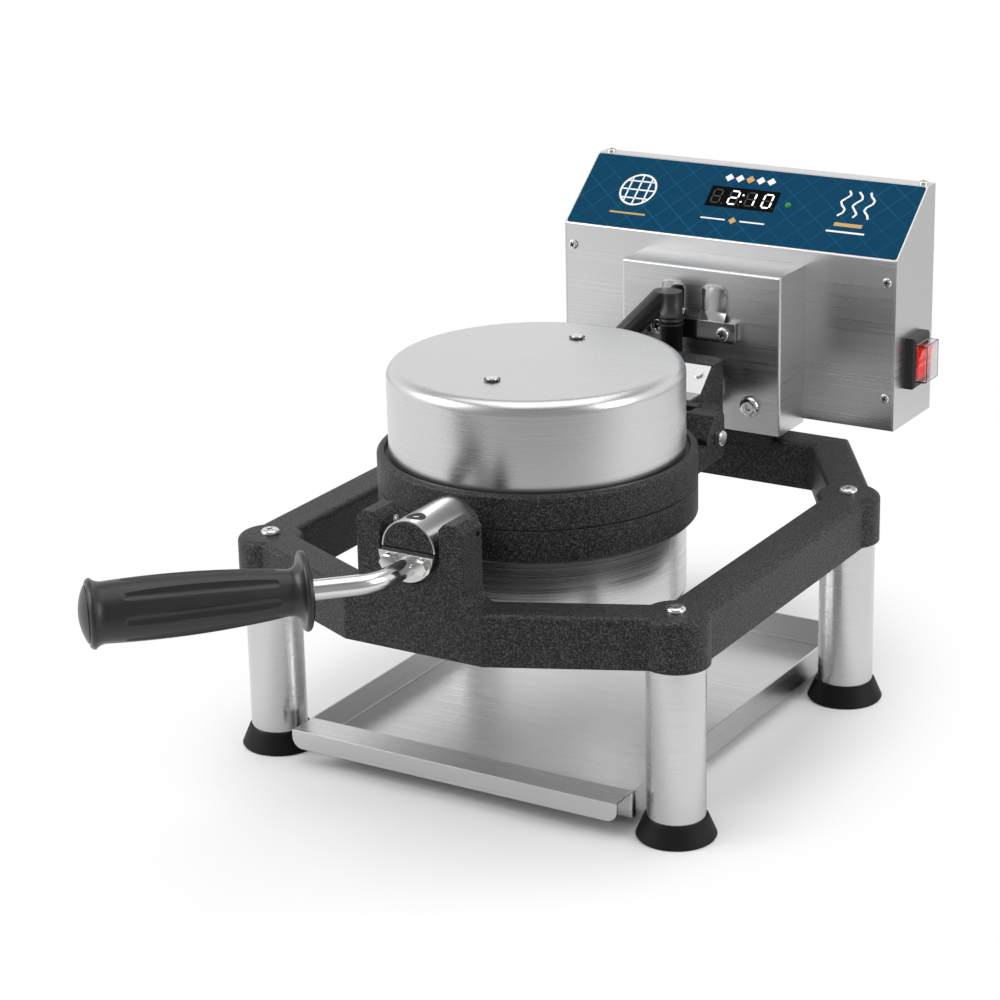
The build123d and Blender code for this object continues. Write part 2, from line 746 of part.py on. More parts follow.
crossbar_front_y = hinge_y + ear_half + 1
crossbar_back_y = hinge_y + crossbar_behind
crossbar_z = axis_z - 1
with BuildPart() as hub_casting:
    with BuildSketch(Plane.YZ):
        with BuildLine():
            Polyline(
                (box_front_y, box_low_z), (box_front_y, box_ledge_z), (box_slope_y, box_ledge_z),
                (box_slope_y + box_slope_run, box_top_z - 1.5), (box_slope_y + box_slope_run, box_top_z),
                (box_back_y, box_top_z), (box_back_y, box_low_z), close=True,
            )
        make_face()
    extrude(amount=box_half, both=True)
    chamfer(hub_casting.edges().filter_by(Axis.Z).group_by(Axis.Y)[-1], box_corner)
    with BuildSketch(at_y(hub_back_y, axis_z)):
        Circle(hub_r)
    extrude(amount=hub_back_y - box_back_y + 2)
    with Locations((conduit_x, conduit_y, axis_z)):
        Cylinder(
            conduit_r + conduit_boss_wall, conduit_seat_up + 2,
            align=(Align.CENTER, Align.CENTER, Align.MIN),
        )
    with BuildSketch(Plane.YZ):
        with Locations((hinge_y, axis_z)):
            Circle(lid_knuckle_r - 1)
        with Locations(((hinge_y + box_front_y) / 2, axis_z + 2)):
            Rectangle(box_front_y - hinge_y + 1, 2 * lid_knuckle_r - 6)
    extrude(amount=tongue_half, both=True)
    with BuildSketch(Plane.YZ.offset(ear_in)):
        with BuildLine():
            Polyline(
                (hinge_y - ear_ahead, axis_z - ear_half), (hinge_y + ear_behind, axis_z - ear_half),
                (hinge_y + ear_behind, axis_z + ear_half), (hinge_y - ear_ahead / 3, axis_z + ear_half),
                (hinge_y - ear_ahead, axis_z + 2), close=True,
            )
        make_face()
        fillet(vertices().group_by(Axis.X)[-1], ear_round)
        with BuildLine():
            Polyline(
                (iron_y + 60, axis_z - 22), (hinge_y + 6, axis_z - 15),
                (hinge_y + ear_behind - 1, axis_z - 3), (iron_y + 60, axis_z - parting_gap), close=True,
            )
        make_face()
    extrude(amount=ear_out - ear_in)
    mirror(about=Plane.YZ)
    for web_x, web_wide in ((ear_in, ear_web), (-ear_out, ear_out - ear_in)):
        with BuildSketch(Plane.YZ.offset(web_x)):
            with Locations(((hinge_y + pin_r + 3 + crossbar_back_y) / 2, crossbar_z)):
                Rectangle(crossbar_back_y - hinge_y - pin_r - 3, 2 * crossbar_half)
        extrude(amount=web_wide)
    with BuildSketch(Plane.YZ):
        with Locations(((crossbar_front_y + crossbar_back_y) / 2, crossbar_z)):
            Rectangle(crossbar_back_y - crossbar_front_y, 2 * crossbar_half)
    extrude(amount=ear_in + 1, both=True)
    with BuildSketch(Plane.YZ):
        with BuildLine():
            Polyline(
                (stop_y(stop_low_z), stop_low_z), (stop_y(stop_high_z), stop_high_z),
                (box_front_y + 1, stop_high_z), (box_front_y + 1, stop_low_z), close=True,
            )
        make_face()
    extrude(amount=lid_knuckle_out - 2, both=True)
    with BuildSketch(Plane.YZ):
        with Locations((hinge_y, axis_z)):
            Circle(pin_r + seat_gap)
    extrude(amount=ear_out + 1, both=True, mode=Mode.SUBTRACT)
    with Locations((0, iron_y, axis_z)):
        Cylinder(ring_r + seat_gap, 4 * ring_high, mode=Mode.SUBTRACT)
    pocket_long = box_slope_y + 14 - box_front_y - box_wall
    with Locations((0, box_front_y + box_wall + pocket_long / 2, box_low_z + box_wall)):
        Box(2 * (box_half - box_wall), pocket_long, 60, align=(Align.CENTER, Align.CENTER, Align.MIN),
            mode=Mode.SUBTRACT)
    with BuildSketch(at_y(hub_back_y + 1, axis_z)):
        Circle(shaft_bore_r)
    extrude(amount=hub_back_y + 1 - box_slope_y, mode=Mode.SUBTRACT)
    with BuildSketch(at_y(hub_back_y + 1, axis_z)):
        Circle(shaft_r + seat_gap)
    extrude(amount=hub_back_y + 1 - box_back_y - 2, mode=Mode.SUBTRACT)
    add(conduit_run(conduit_r + seat_gap), mode=Mode.SUBTRACT)
save(hub_casting, "hub_casting")

with BuildPart() as wiring_cover:
    with BuildSketch(Plane.YZ):
        with BuildLine():
            lid_line = [
                (box_front_y + 1.5, box_ledge_z + seat_gap),
                (box_slope_y, box_ledge_z + seat_gap),
                (box_slope_y + box_slope_run - 0.1, box_top_z - 1.6),
            ]
            Polyline(*lid_line)
            Polyline(
                lid_line[2], (box_slope_y + box_slope_run - 0.9, box_top_z - 0.7),
                (box_slope_y - 0.5, box_ledge_z + sheet), (box_front_y + 1.5, box_ledge_z + sheet),
                lid_line[0],
            )
        make_face()
    extrude(amount=box_half - 1.5, both=True)
save(wiring_cover, "wiring_cover")

wiring_rise = box_top_z - 1.6 - box_ledge_z
wiring_run = box_slope_run - 0.1
wiring_slope = atan2(wiring_rise, wiring_run)
wiring_screw_y = box_slope_y + 12.2
wiring_screw_plane = Plane(
    origin=(0, wiring_screw_y, box_ledge_z + (wiring_screw_y - box_slope_y) * wiring_rise / wiring_run),
    x_dir=(1, 0, 0), z_dir=(0, -sin(wiring_slope), cos(wiring_slope)),
).offset(sheet + 0.1)
with BuildPart() as rotor_screws:
    add(cover_screws(-1).part)
    with BuildSketch(wiring_screw_plane):
        with Locations((-box_half + 9, 0), (box_half - 9, 0)):
            Circle(screw_head_r - 0.4)
    extrude(amount=1.6)
save(rotor_screws, "rotor_screws")

# Hinge pin and its clip
with BuildPart() as hinge_pin:
    with BuildSketch(Plane.YZ.offset(-ear_out - 3)):
        with Locations((hinge_y, axis_z)):
            Circle(pin_r)
    extrude(amount=2 * ear_out + 3.3)
    with BuildSketch(Plane.YZ.offset(ear_out + 0.3)):
        with Locations((hinge_y, axis_z)):
            Circle(pin_head_r)
    extrude(amount=pin_head_long)
    chamfer(hinge_pin.faces().sort_by(Axis.X)[-1].edges(), 0.8)
save(hinge_pin, "hinge_pin")

with BuildPart() as hinge_pin_clip:
    with BuildSketch(Plane.YZ.offset(-ear_out - 1.5)):
        with Locations((hinge_y, axis_z)):
            Circle(pin_r + 3)
            Circle(pin_r + seat_gap, mode=Mode.SUBTRACT)
    extrude(amount=1.2)
save(hinge_pin_clip, "hinge_pin_clip")

# Rear shaft, washers, bush, nut and the magnet ring with its sensor
nut_front_y = tower_back_y + 0.4
magnet_front_y = nut_front_y + nut_thick
shaft_end_y = magnet_front_y + magnet_ring_thick + 1
with BuildPart() as rear_shaft:
    with BuildSketch(at_y(shaft_end_y, axis_z)):
        Circle(shaft_r)
        Circle(shaft_bore_r, mode=Mode.SUBTRACT)
    extrude(amount=shaft_end_y - box_back_y - 2)
save(rear_shaft, "rear_shaft")

with BuildPart() as thrust_washers:
    for back_y in (hub_back_y + washer_thick + 0.02, hub_back_y + 2 * washer_thick + 0.07):
        with BuildSketch(at_y(back_y, axis_z)):
            Circle(washer_r)
            Circle(shaft_r + seat_gap, mode=Mode.SUBTRACT)
        extrude(amount=washer_thick)
save(thrust_washers, "thrust_washers")

with BuildPart() as rear_bush:
    with BuildSketch(at_y(tower_back_y, axis_z)):
        Circle(bush_r - seat_gap)
    extrude(amount=tower_deep)
    with BuildSketch(at_y(tower_front_y, axis_z)):
        Circle(bush_flange_r)
    extrude(amount=sheet - 0.1)
    with BuildSketch(at_y(tower_back_y, axis_z)):
        Circle(shaft_r + running_gap)
    extrude(amount=tower_deep + 3, mode=Mode.SUBTRACT)
save(rear_bush, "rear_bush")

with BuildPart() as shaft_nut:
    with BuildSketch(at_y(nut_front_y + nut_thick, axis_z)):
        RegularPolygon(18, 6)
        Circle(shaft_r + seat_gap, mode=Mode.SUBTRACT)
    extrude(amount=nut_thick)
save(shaft_nut, "shaft_nut")

with BuildPart() as magnet_ring:
    with BuildSketch(at_y(magnet_front_y + magnet_ring_thick + 0.1, axis_z)):
        Circle(magnet_ring_r)
        Circle(shaft_r + seat_gap, mode=Mode.SUBTRACT)
        with Locations((0, (shaft_r + magnet_ring_r) / 2)):
            Circle(2.2, mode=Mode.SUBTRACT)
    extrude(amount=magnet_ring_thick)
save(magnet_ring, "magnet_ring")

with BuildPart() as flip_magnet:
    with BuildSketch(at_y(magnet_front_y + magnet_ring_thick + 0.1, axis_z)):
        with Locations((0, (shaft_r + magnet_ring_r) / 2)):
            Circle(2.15)
    extrude(amount=magnet_ring_thick)
save(flip_magnet, "flip_magnet")

with BuildPart() as flip_sensor:
    with BuildSketch(at_y(shaft_end_y, axis_z)):
        with Locations((0, magnet_ring_r + 7)):
            Rectangle(16, 10)
    extrude(amount=shaft_end_y - tower_back_y - seat_gap)
save(flip_sensor, "flip_sensor")

# Bearing housing, its bolts and the bracket
housing_back_y = case_front_y - seat_gap
housing_long = housing_back_y - housing_front_y
housing_high = housing_top_z - housing_low_z
bracket_screw_x = bracket_half - 9.9
bracket_screw_z = bracket_low_z + 6.2
with BuildPart() as bearing_housing:
    with Locations((0, housing_front_y, housing_low_z)):
        Box(2 * housing_half, housing_long, housing_high, align=(Align.CENTER, Align.MIN, Align.MIN))
    front = bearing_housing.faces().sort_by(Axis.Y)[0]
    fillet(front.edges().sort_by(Axis.Z)[1:], bend)
    offset(
        amount=-sheet,
        openings=[
            bearing_housing.faces().sort_by(Axis.Y)[-1], bearing_housing.faces().sort_by(Axis.Z)[0]
        ],
    )
    with BuildSketch(at_y(housing_front_y + 5, axis_z)):
        Circle(bush_flange_r + seat_gap)
        with Locations(
            (-housing_bolt_x, housing_bolt_z - axis_z), (housing_bolt_x, housing_bolt_z - axis_z)
        ):
            Circle(housing_bolt_r + 0.2)
        with Locations(
            (bracket_mid_x - bracket_screw_x, bracket_screw_z - axis_z),
            (bracket_mid_x + bracket_screw_x, bracket_screw_z - axis_z),
        ):
            Circle(screw_r + 0.1)
    extrude(amount=6, mode=Mode.SUBTRACT)
save(bearing_housing, "bearing_housing")

with BuildPart() as housing_bolts:
    with BuildSketch(at_y(housing_front_y - seat_gap, axis_z)):
        with Locations(
            (-housing_bolt_x, housing_bolt_z - axis_z), (housing_bolt_x, housing_bolt_z - axis_z)
        ):
            Circle(housing_bolt_head_r)
    extrude(amount=4.2)
    fillet(housing_bolts.faces().group_by(Axis.Y)[0].edges(), 3.4)
    with BuildSketch(at_y(housing_front_y - 2, axis_z)):
        with Locations(
            (-housing_bolt_x, housing_bolt_z - axis_z), (housing_bolt_x, housing_bolt_z - axis_z)
        ):
            RegularPolygon(2.6, 6)
    extrude(amount=4, mode=Mode.SUBTRACT)
    with BuildSketch(at_y(tower_front_y + 15, axis_z)):
        with Locations(
            (-housing_bolt_x, housing_bolt_z - axis_z), (housing_bolt_x, housing_bolt_z - axis_z)
        ):
            Circle(housing_bolt_r)
    extrude(amount=15 + sheet + seat_gap)
save(housing_bolts, "housing_bolts")

bracket_back_y = housing_front_y - seat_gap
bracket_front_y = housing_front_y - bracket_proud
with BuildPart() as clip_bracket:
    with BuildSketch(at_y(bracket_front_y + sheet)):
        with Locations((bracket_mid_x, (bracket_low_z + bracket_shelf_z) / 2)):
            Rectangle(2 * bracket_half, bracket_shelf_z - bracket_low_z)
        with Locations(
            (bracket_mid_x - bracket_screw_x, bracket_screw_z),
            (bracket_mid_x + bracket_screw_x, bracket_screw_z),
        ):
            Circle(screw_r + 0.1, mode=Mode.SUBTRACT)
    extrude(amount=sheet)
    with Locations((bracket_mid_x, bracket_back_y, bracket_shelf_z)):
        Box(2 * bracket_half, bracket_back_y - bracket_front_y, sheet,
            align=(Align.CENTER, Align.MAX, Align.MAX))
    with BuildSketch(at_y(bracket_front_y + sheet)):
        for side in (-1, 1):
            with Locations((bracket_mid_x + side * (tongue_in + tongue_wide / 2),
                            (bracket_shelf_z + bracket_top_z) / 2 - sheet / 2)):
                RectangleRounded(tongue_wide, bracket_top_z - bracket_shelf_z + sheet, 5.5)
        with Locations((bracket_mid_x, bracket_shelf_z + 1.4)):
            Rectangle(2 * (tongue_in + tongue_wide), 5.2)
    extrude(amount=sheet)
    with Locations((bracket_mid_x - bracket_half, bracket_back_y, bracket_shelf_z),
                   (bracket_mid_x + bracket_half - sheet, bracket_back_y, bracket_shelf_z)):
        Box(sheet, bracket_back_y - bracket_front_y, bracket_shelf_z - bracket_low_z,
            align=(Align.MIN, Align.MAX, Align.MAX))
save(clip_bracket, "clip_bracket")

# Control box
case_profile = [
    (case_front_y, case_low_z), (case_front_y, case_knee_z), (case_slope_back_y, case_top_z),
    (case_back_y, case_top_z), (case_back_y, case_low_z),
]
cover_half = case_half - sheet - seat_gap
case_screw_low = 24
case_screw_high = case_knee_z - case_low_z - 16.5
case_screw_x = case_half - 7
with BuildPart() as control_box_cover:
    with BuildSketch(Plane.YZ):
        with BuildLine():
            FilletPolyline(
                (case_front_y, case_low_z), (case_front_y, case_knee_z),
                (case_slope_back_y, case_top_z), (case_back_y - sheet - seat_gap, case_top_z),
                radius=bend + 0.6,
            )
            offset(amount=sheet, side=Side.RIGHT)
        make_face()
    extrude(amount=cover_half, both=True)
    with BuildSketch(at_y(case_front_y + 3)):
        with Locations((0, axis_z)):
            Circle(shaft_r + 2)
        for z in (case_low_z + case_screw_low, case_low_z + case_screw_high):
            with Locations((-case_screw_x, z), (case_screw_x, z)):
                Circle(screw_r)
    extrude(amount=5, mode=Mode.SUBTRACT)
    with BuildSketch(Plane.XY.offset(case_top_z + 1)):
        with Locations((-case_screw_x, case_back_y - 5.5), (case_screw_x, case_back_y - 5.5)):
            Circle(screw_r)
    extrude(amount=-4, mode=Mode.SUBTRACT)
    with BuildSketch(slope_plane.offset(2)):
        with Locations((window_x, window_up)):
            Rectangle(window_wide, window_high)
        with Locations((lamp_x, lamp_up)):
            Circle(lamp_r + seat_gap)
    extrude(amount=-5, mode=Mode.SUBTRACT)
save(control_box_cover, "control_box_cover")

gland_x = -case_half + 45.4
gland_z = case_low_z + 26
gland_r = 8
vent_z = case_low_z + 0.68 * (case_top_z - case_low_z)
with BuildPart() as control_box_chassis:
    with BuildSketch(Plane.YZ.offset(case_half - sheet)):
        with BuildLine():
            Polyline(*case_profile, close=True)
        make_face()
    extrude(amount=sheet)
    mirror(about=Plane.YZ)
    with BuildSketch(at_y(case_back_y)):
        with Locations((0, (case_low_z + case_top_z) / 2)):
            Rectangle(2 * case_half, case_top_z - case_low_z)
    extrude(amount=sheet)
    inside_y = case_front_y + sheet + seat_gap
    with Locations((0, inside_y, case_low_z)):
        Box(2 * case_half, case_back_y - inside_y, sheet, align=(Align.CENTER, Align.MIN, Align.MIN))
    with Locations((case_half, inside_y, case_low_z), (-case_half + flange, inside_y, case_low_z)):
        Box(flange, sheet, case_knee_z - case_low_z - 4, align=(Align.MAX, Align.MIN, Align.MIN))
    with Locations((case_half, case_back_y, case_top_z - sheet - seat_gap),
                   (-case_half + flange, case_back_y, case_top_z - sheet - seat_gap)):
        Box(flange, case_back_y - case_slope_back_y - 2, sheet, align=(Align.MAX, Align.MAX, Align.MAX))
    with BuildSketch(at_y(case_back_y + 1)):
        with Locations((gland_x, gland_z)):
            Circle(gland_r + seat_gap)
        with Locations((0, vent_z)):
            with GridLocations(0, 11, 1, 5):
                SlotOverall(110, 4)
    extrude(amount=4, mode=Mode.SUBTRACT)
    with BuildSketch(Plane.YZ.offset(case_half + 1)):
        with Locations((switch_y, switch_z)):
            Rectangle(bezel_wide - 4, bezel_high - 4)
    extrude(amount=-4, mode=Mode.SUBTRACT)
save(control_box_chassis, "control_box_chassis")

with BuildPart() as box_screws:
    for z in (case_low_z + case_screw_low, case_low_z + case_screw_high):
        with BuildSketch(at_y(case_front_y - seat_gap)):
            with Locations((-case_screw_x, z), (case_screw_x, z)):
                Circle(screw_head_r - 0.8)
        extrude(amount=screw_head_high - 0.4)
    with BuildSketch(Plane.XY.offset(case_top_z + seat_gap)):
        with Locations((-case_screw_x, case_back_y - 5.5), (case_screw_x, case_back_y - 5.5)):
            Circle(screw_head_r - 0.8)
    extrude(amount=screw_head_high - 0.4)
    bracket_screw_places = [
        (bracket_mid_x - bracket_screw_x, bracket_screw_z), (bracket_mid_x + bracket_screw_x, bracket_screw_z)
    ]
    with BuildSketch(at_y(bracket_front_y - seat_gap)):
        with Locations(*bracket_screw_places):
            Circle(screw_head_r)
    extrude(amount=screw_head_high)
    with BuildSketch(at_y(housing_front_y + sheet + 4)):
        with Locations(*bracket_screw_places):
            Circle(screw_r)
    extrude(amount=sheet + 4 + bracket_proud + seat_gap)
save(box_screws, "box_screws")

with BuildPart() as label_panel:
    with BuildSketch(slope_plane.offset(seat_gap)):
        with Locations((0, slope_long / 2 + label_margin / 2 - 0.6)):
            RectangleRounded(2 * label_half, slope_long - label_margin - 1.2, 3)
        with Locations((window_x, window_up)):
            Rectangle(window_wide, window_high, mode=Mode.SUBTRACT)
        with Locations((lamp_x, lamp_up)):
            Circle(lamp_r + seat_gap, mode=Mode.SUBTRACT)
    extrude(amount=label_thick)
save(label_panel, "label_panel")

with BuildPart() as display_window:
    with BuildSketch(slope_plane.offset(-sheet)):
        with Locations((window_x, window_up)):
            Rectangle(window_wide - 0.1, window_high - 0.1)
    extrude(amount=sheet + label_thick + 0.3)
save(display_window, "display_window")

with BuildPart() as indicator_lamp:
    with BuildSketch(slope_plane.offset(-8)):
        with Locations((lamp_x, lamp_up)):
            Circle(lamp_r)
    extrude(amount=8 + label_thick + 1.2)
    fillet(indicator_lamp.edges().sort_by(Axis.Z)[-1], 1.6)
save(indicator_lamp, "indicator_lamp")

with BuildPart() as display_module:
    with BuildSketch(slope_plane.offset(-sheet - 0.1)):
        with Locations((window_x, window_up)):
            Rectangle(window_wide + 2, window_high + 2)
    extrude(amount=-9)
save(display_module, "display_module")

with BuildPart() as control_board:
    with BuildSketch(slope_plane.offset(-sheet - 9.3)):
        with Locations((10, slope_long / 2)):
            Rectangle(130, 52)
    extrude(amount=-1.6)
    with BuildSketch(slope_plane.offset(-sheet - 10.9)):
        with Locations((-30, slope_long / 2), (50, slope_long / 2 - 6)):
            Rectangle(relay_long, relay_wide)
    extrude(amount=-relay_high)
save(control_board, "control_board")

with BuildPart() as terminal_block:
    with Locations((-40, case_back_y - 12, case_low_z + sheet + 0.1)):
        Box(60, 18, 16, align=(Align.CENTER, Align.MAX, Align.MIN))
    with BuildSketch(Plane.XY.offset(case_low_z + sheet + 16.1)):
        with Locations((-40, case_back_y - 21)):
            with GridLocations(12, 9, 4, 2):
                Circle(2.6)
    extrude(amount=-4, mode=Mode.SUBTRACT)
save(terminal_block, "terminal_block")

with BuildPart() as cord_gland:
    with BuildSketch(at_y(case_back_y + 4.2)):
        with Locations((gland_x, gland_z)):
            Circle(gland_r + 3)
    extrude(amount=4.1)
    fillet(cord_gland.faces().sort_by(Axis.Y)[-1].edges(), 1.5)
    with BuildSketch(at_y(case_back_y + 1)):
        with Locations((gland_x, gland_z)):
            Circle(gland_r)
    extrude(amount=8)
    with BuildSketch(at_y(case_back_y + 6)):
        with Locations((gland_x, gland_z)):
            Circle(gland_r - 3)
    extrude(amount=20, mode=Mode.SUBTRACT)
save(cord_gland, "cord_gland")

# Rocker switch: body with bezel, rocker, clear boot
opening_wide = rocker_wide + 0.8
opening_high = rocker_high + 2.4
pivot_x = case_half + 3.5
rocker_front = 5.6
with BuildPart() as switch_body:
    with BuildSketch(Plane.YZ.offset(case_half + seat_gap)):
        with Locations((switch_y, switch_z)):
            Rectangle(bezel_wide, bezel_high)
            Rectangle(opening_wide, opening_high, mode=Mode.SUBTRACT)
    extrude(amount=bezel_proud)
    chamfer(switch_body.faces().sort_by(Axis.X)[-1].outer_wire().edges(), 1.6)
    with BuildSketch(Plane.YZ.offset(case_half + 0.5)):
        with Locations((switch_y, switch_z)):
            Rectangle(bezel_wide - 4.4, bezel_high - 4.4)
            Rectangle(opening_wide, opening_high, mode=Mode.SUBTRACT)
    extrude(amount=-8)
    with BuildSketch(Plane.YZ.offset(case_half - 7)):
        with Locations((switch_y, switch_z)):
            Rectangle(bezel_wide - 4.4, bezel_high - 4.4)
    extrude(amount=-16)
save(switch_body, "switch_body")

tilt = radians(rocker_tilt)
with BuildPart() as switch_rocker:
    with BuildSketch(
        Plane(origin=(pivot_x, switch_y, switch_z), x_dir=(cos(tilt), 0, -sin(tilt)), z_dir=(0, -1, 0))
    ):
        with BuildLine():
            Polyline(
                (-4.5, -rocker_high * 0.32), (rocker_front + 0.8, -rocker_high / 2),
                (rocker_front - 0.9, 0), (rocker_front + 0.8, rocker_high / 2),
                (-4.5, rocker_high * 0.32), close=True,
            )
        make_face()
        Circle(rocker_back_r)
    extrude(amount=rocker_wide / 2, both=True)
save(switch_rocker, "switch_rocker")

bezel_face_x = case_half + seat_gap + bezel_proud
with BuildPart() as switch_boot:
    with BuildSketch(Plane.YZ.offset(bezel_face_x + 0.05)):
        with Locations((switch_y, switch_z)):
            Rectangle(boot_wide, boot_high)
    extrude(amount=boot_proud)
    fillet(switch_boot.faces().sort_by(Axis.X)[-1].edges(), 1.2)
    offset(amount=-boot_wall, openings=switch_boot.faces().sort_by(Axis.X)[0])
save(switch_boot, "switch_boot")

# Drip tray and its bumpers
tray_long = tray_back_y - tray_front_y
with BuildPart() as drip_tray:
    with Locations((0, tray_front_y, tray_low_z)):
        Box(2 * tray_half, tray_long, tray_rim_z - tray_low_z, align=(Align.CENTER, Align.MIN, Align.MIN))
    fillet(drip_tray.edges().filter_by(Axis.Z), 3)
    fillet(drip_tray.faces().sort_by(Axis.Z)[0].edges(), 2)
    offset(amount=-sheet, openings=drip_tray.faces().sort_by(Axis.Z)[-1])
    with Locations((0, tray_front_y + sheet, tray_rim_z)):
        Box(2 * tray_half - 2, tray_flange + sheet, sheet, align=(Align.CENTER, Align.MAX, Align.MAX))
    with BuildSketch(at_y(tray_front_y - tray_flange + sheet)):
        with Locations((0, tray_rim_z - tray_apron / 2)):
            Rectangle(2 * tray_half, tray_apron)
        fillet(vertices().group_by(Axis.Y)[0], 8)
    extrude(amount=sheet)
save(drip_tray, "drip_tray")

with BuildPart() as tray_bumpers:
    with BuildSketch(Plane.XY):
        with Locations((0, (tray_front_y + tray_back_y) / 2)):
            with GridLocations(2 * tray_half - 50, tray_long - 50, 2, 2):
                Circle(8)
    extrude(amount=tray_low_z - seat_gap)
save(tray_bumpers, "tray_bumpers")
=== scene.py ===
"""Rotating waffle maker: finishes, fine pieces, studio and camera.

Metres. +Z is up, the handle is at -Y and the control box at +Y.
"""
import math

import bpy
from mathutils import Matrix, Vector


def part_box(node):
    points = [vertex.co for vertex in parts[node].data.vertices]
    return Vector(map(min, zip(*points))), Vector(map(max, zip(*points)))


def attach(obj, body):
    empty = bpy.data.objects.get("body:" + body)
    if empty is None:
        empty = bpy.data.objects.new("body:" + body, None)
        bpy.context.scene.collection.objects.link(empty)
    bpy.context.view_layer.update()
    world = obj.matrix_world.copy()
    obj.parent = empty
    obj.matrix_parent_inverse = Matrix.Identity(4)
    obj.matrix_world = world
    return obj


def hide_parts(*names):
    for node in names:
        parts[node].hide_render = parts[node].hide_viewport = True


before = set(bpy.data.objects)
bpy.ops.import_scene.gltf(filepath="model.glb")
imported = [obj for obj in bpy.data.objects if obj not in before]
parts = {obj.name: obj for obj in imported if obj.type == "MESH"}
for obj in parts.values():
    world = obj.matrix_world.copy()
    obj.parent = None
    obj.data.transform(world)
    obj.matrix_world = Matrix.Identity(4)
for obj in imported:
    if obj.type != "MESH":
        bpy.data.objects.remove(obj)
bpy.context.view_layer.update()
MM = 0.001

# Places that the fine pieces share, from the machine's own nodes
axis_z = 187 * MM
iron_y = -9 * MM
cover_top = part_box("upper_cover")[1].z
label_low = Vector((0, 266.4, 286.2)) * MM
label_up = Vector((0, 53.6, 43.1)).normalized()
label_out = Vector((0, -label_up.z, label_up.y))
label_tilt = math.atan2(label_up.z, label_up.y)
label_face = 0.55 * MM
window_face = 0.84 * MM


# Shader helpers
def paint(hex_code):
    """An sRGB hex colour as linear red, green, blue and alpha."""
    channels = [int(hex_code[i:i + 2], 16) / 255 for i in (1, 3, 5)]
    return [c / 12.92 if c <= 0.04045 else ((c + 0.055) / 1.055) ** 2.4 for c in channels] + [1]


def add_node(tree, kind, settings=None, links=None):
    """Add one shader node, set its values, and link its inputs to other nodes' outputs."""
    node = tree.nodes.new(kind)
    for name, value in (settings or {}).items():
        if isinstance(name, int) or name in node.inputs:
            node.inputs[name].default_value = value
        else:
            setattr(node, name, value)
    for name, source in (links or {}).items():
        tree.links.new(source, node.inputs[name])
    return node


def new_finish(name, colour, **shader_values):
    """A material of this colour: the material, its tree, its shader and its places on the object."""
    finish = bpy.data.materials.new(name)
    finish.use_nodes = True
    tree = finish.node_tree
    shader = tree.nodes["Principled BSDF"]
    shader.inputs["Base Color"].default_value = paint(colour)
    for socket, value in shader_values.items():
        shader.inputs[socket.replace("_", " ")].default_value = value
    place = add_node(tree, "ShaderNodeTexCoord").outputs["Object"]
    return finish, tree, shader, place


def two_tone(tree, shader, factor, dark, light, low=0.3, high=0.7):
    """Colour that runs from dark to light as the factor goes from low to high."""
    ramp = add_node(tree, "ShaderNodeValToRGB", links={"Fac": factor})
    ramp.color_ramp.elements[0].position = low
    ramp.color_ramp.elements[0].color = paint(dark)
    ramp.color_ramp.elements[1].position = high
    ramp.color_ramp.elements[1].color = paint(light)
    tree.links.new(ramp.outputs["Color"], shader.inputs["Base Color"])


# Castings: iron sand-cast, then coated with textured polyester powder. The powder leaves a fine
# grain of about a millimetre that catches the light as specks, and edges keep a soft, paler line.
def powder_coated_casting():
    finish, tree, shader, place = new_finish("powder_coated_casting", "#1E1E1F", Roughness=0.5,
                                             Specular_IOR_Level=0.35)
    grain = add_node(tree, "ShaderNodeTexNoise", {"Scale": 900, "Detail": 3, "Roughness": 0.6},
                     {"Vector": place})
    sand = add_node(tree, "ShaderNodeTexNoise", {"Scale": 90, "Detail": 2}, {"Vector": place})
    edge = add_node(tree, "ShaderNodeBevel", {"samples": 6, "Radius": 1.6 * MM})
    cast = add_node(tree, "ShaderNodeBump", {"Strength": 0.35, "Distance": 0.5 * MM},
                    {"Height": sand.outputs["Fac"], "Normal": edge.outputs["Normal"]})
    bump = add_node(tree, "ShaderNodeBump", {"Strength": 0.55, "Distance": 0.45 * MM},
                    {"Height": grain.outputs["Fac"], "Normal": cast.outputs["Normal"]})
    tree.links.new(bump.outputs["Normal"], shader.inputs["Normal"])
    two_tone(tree, shader, grain.outputs["Fac"], "#050505", "#5C5C5F", 0.45, 0.74)
    return finish


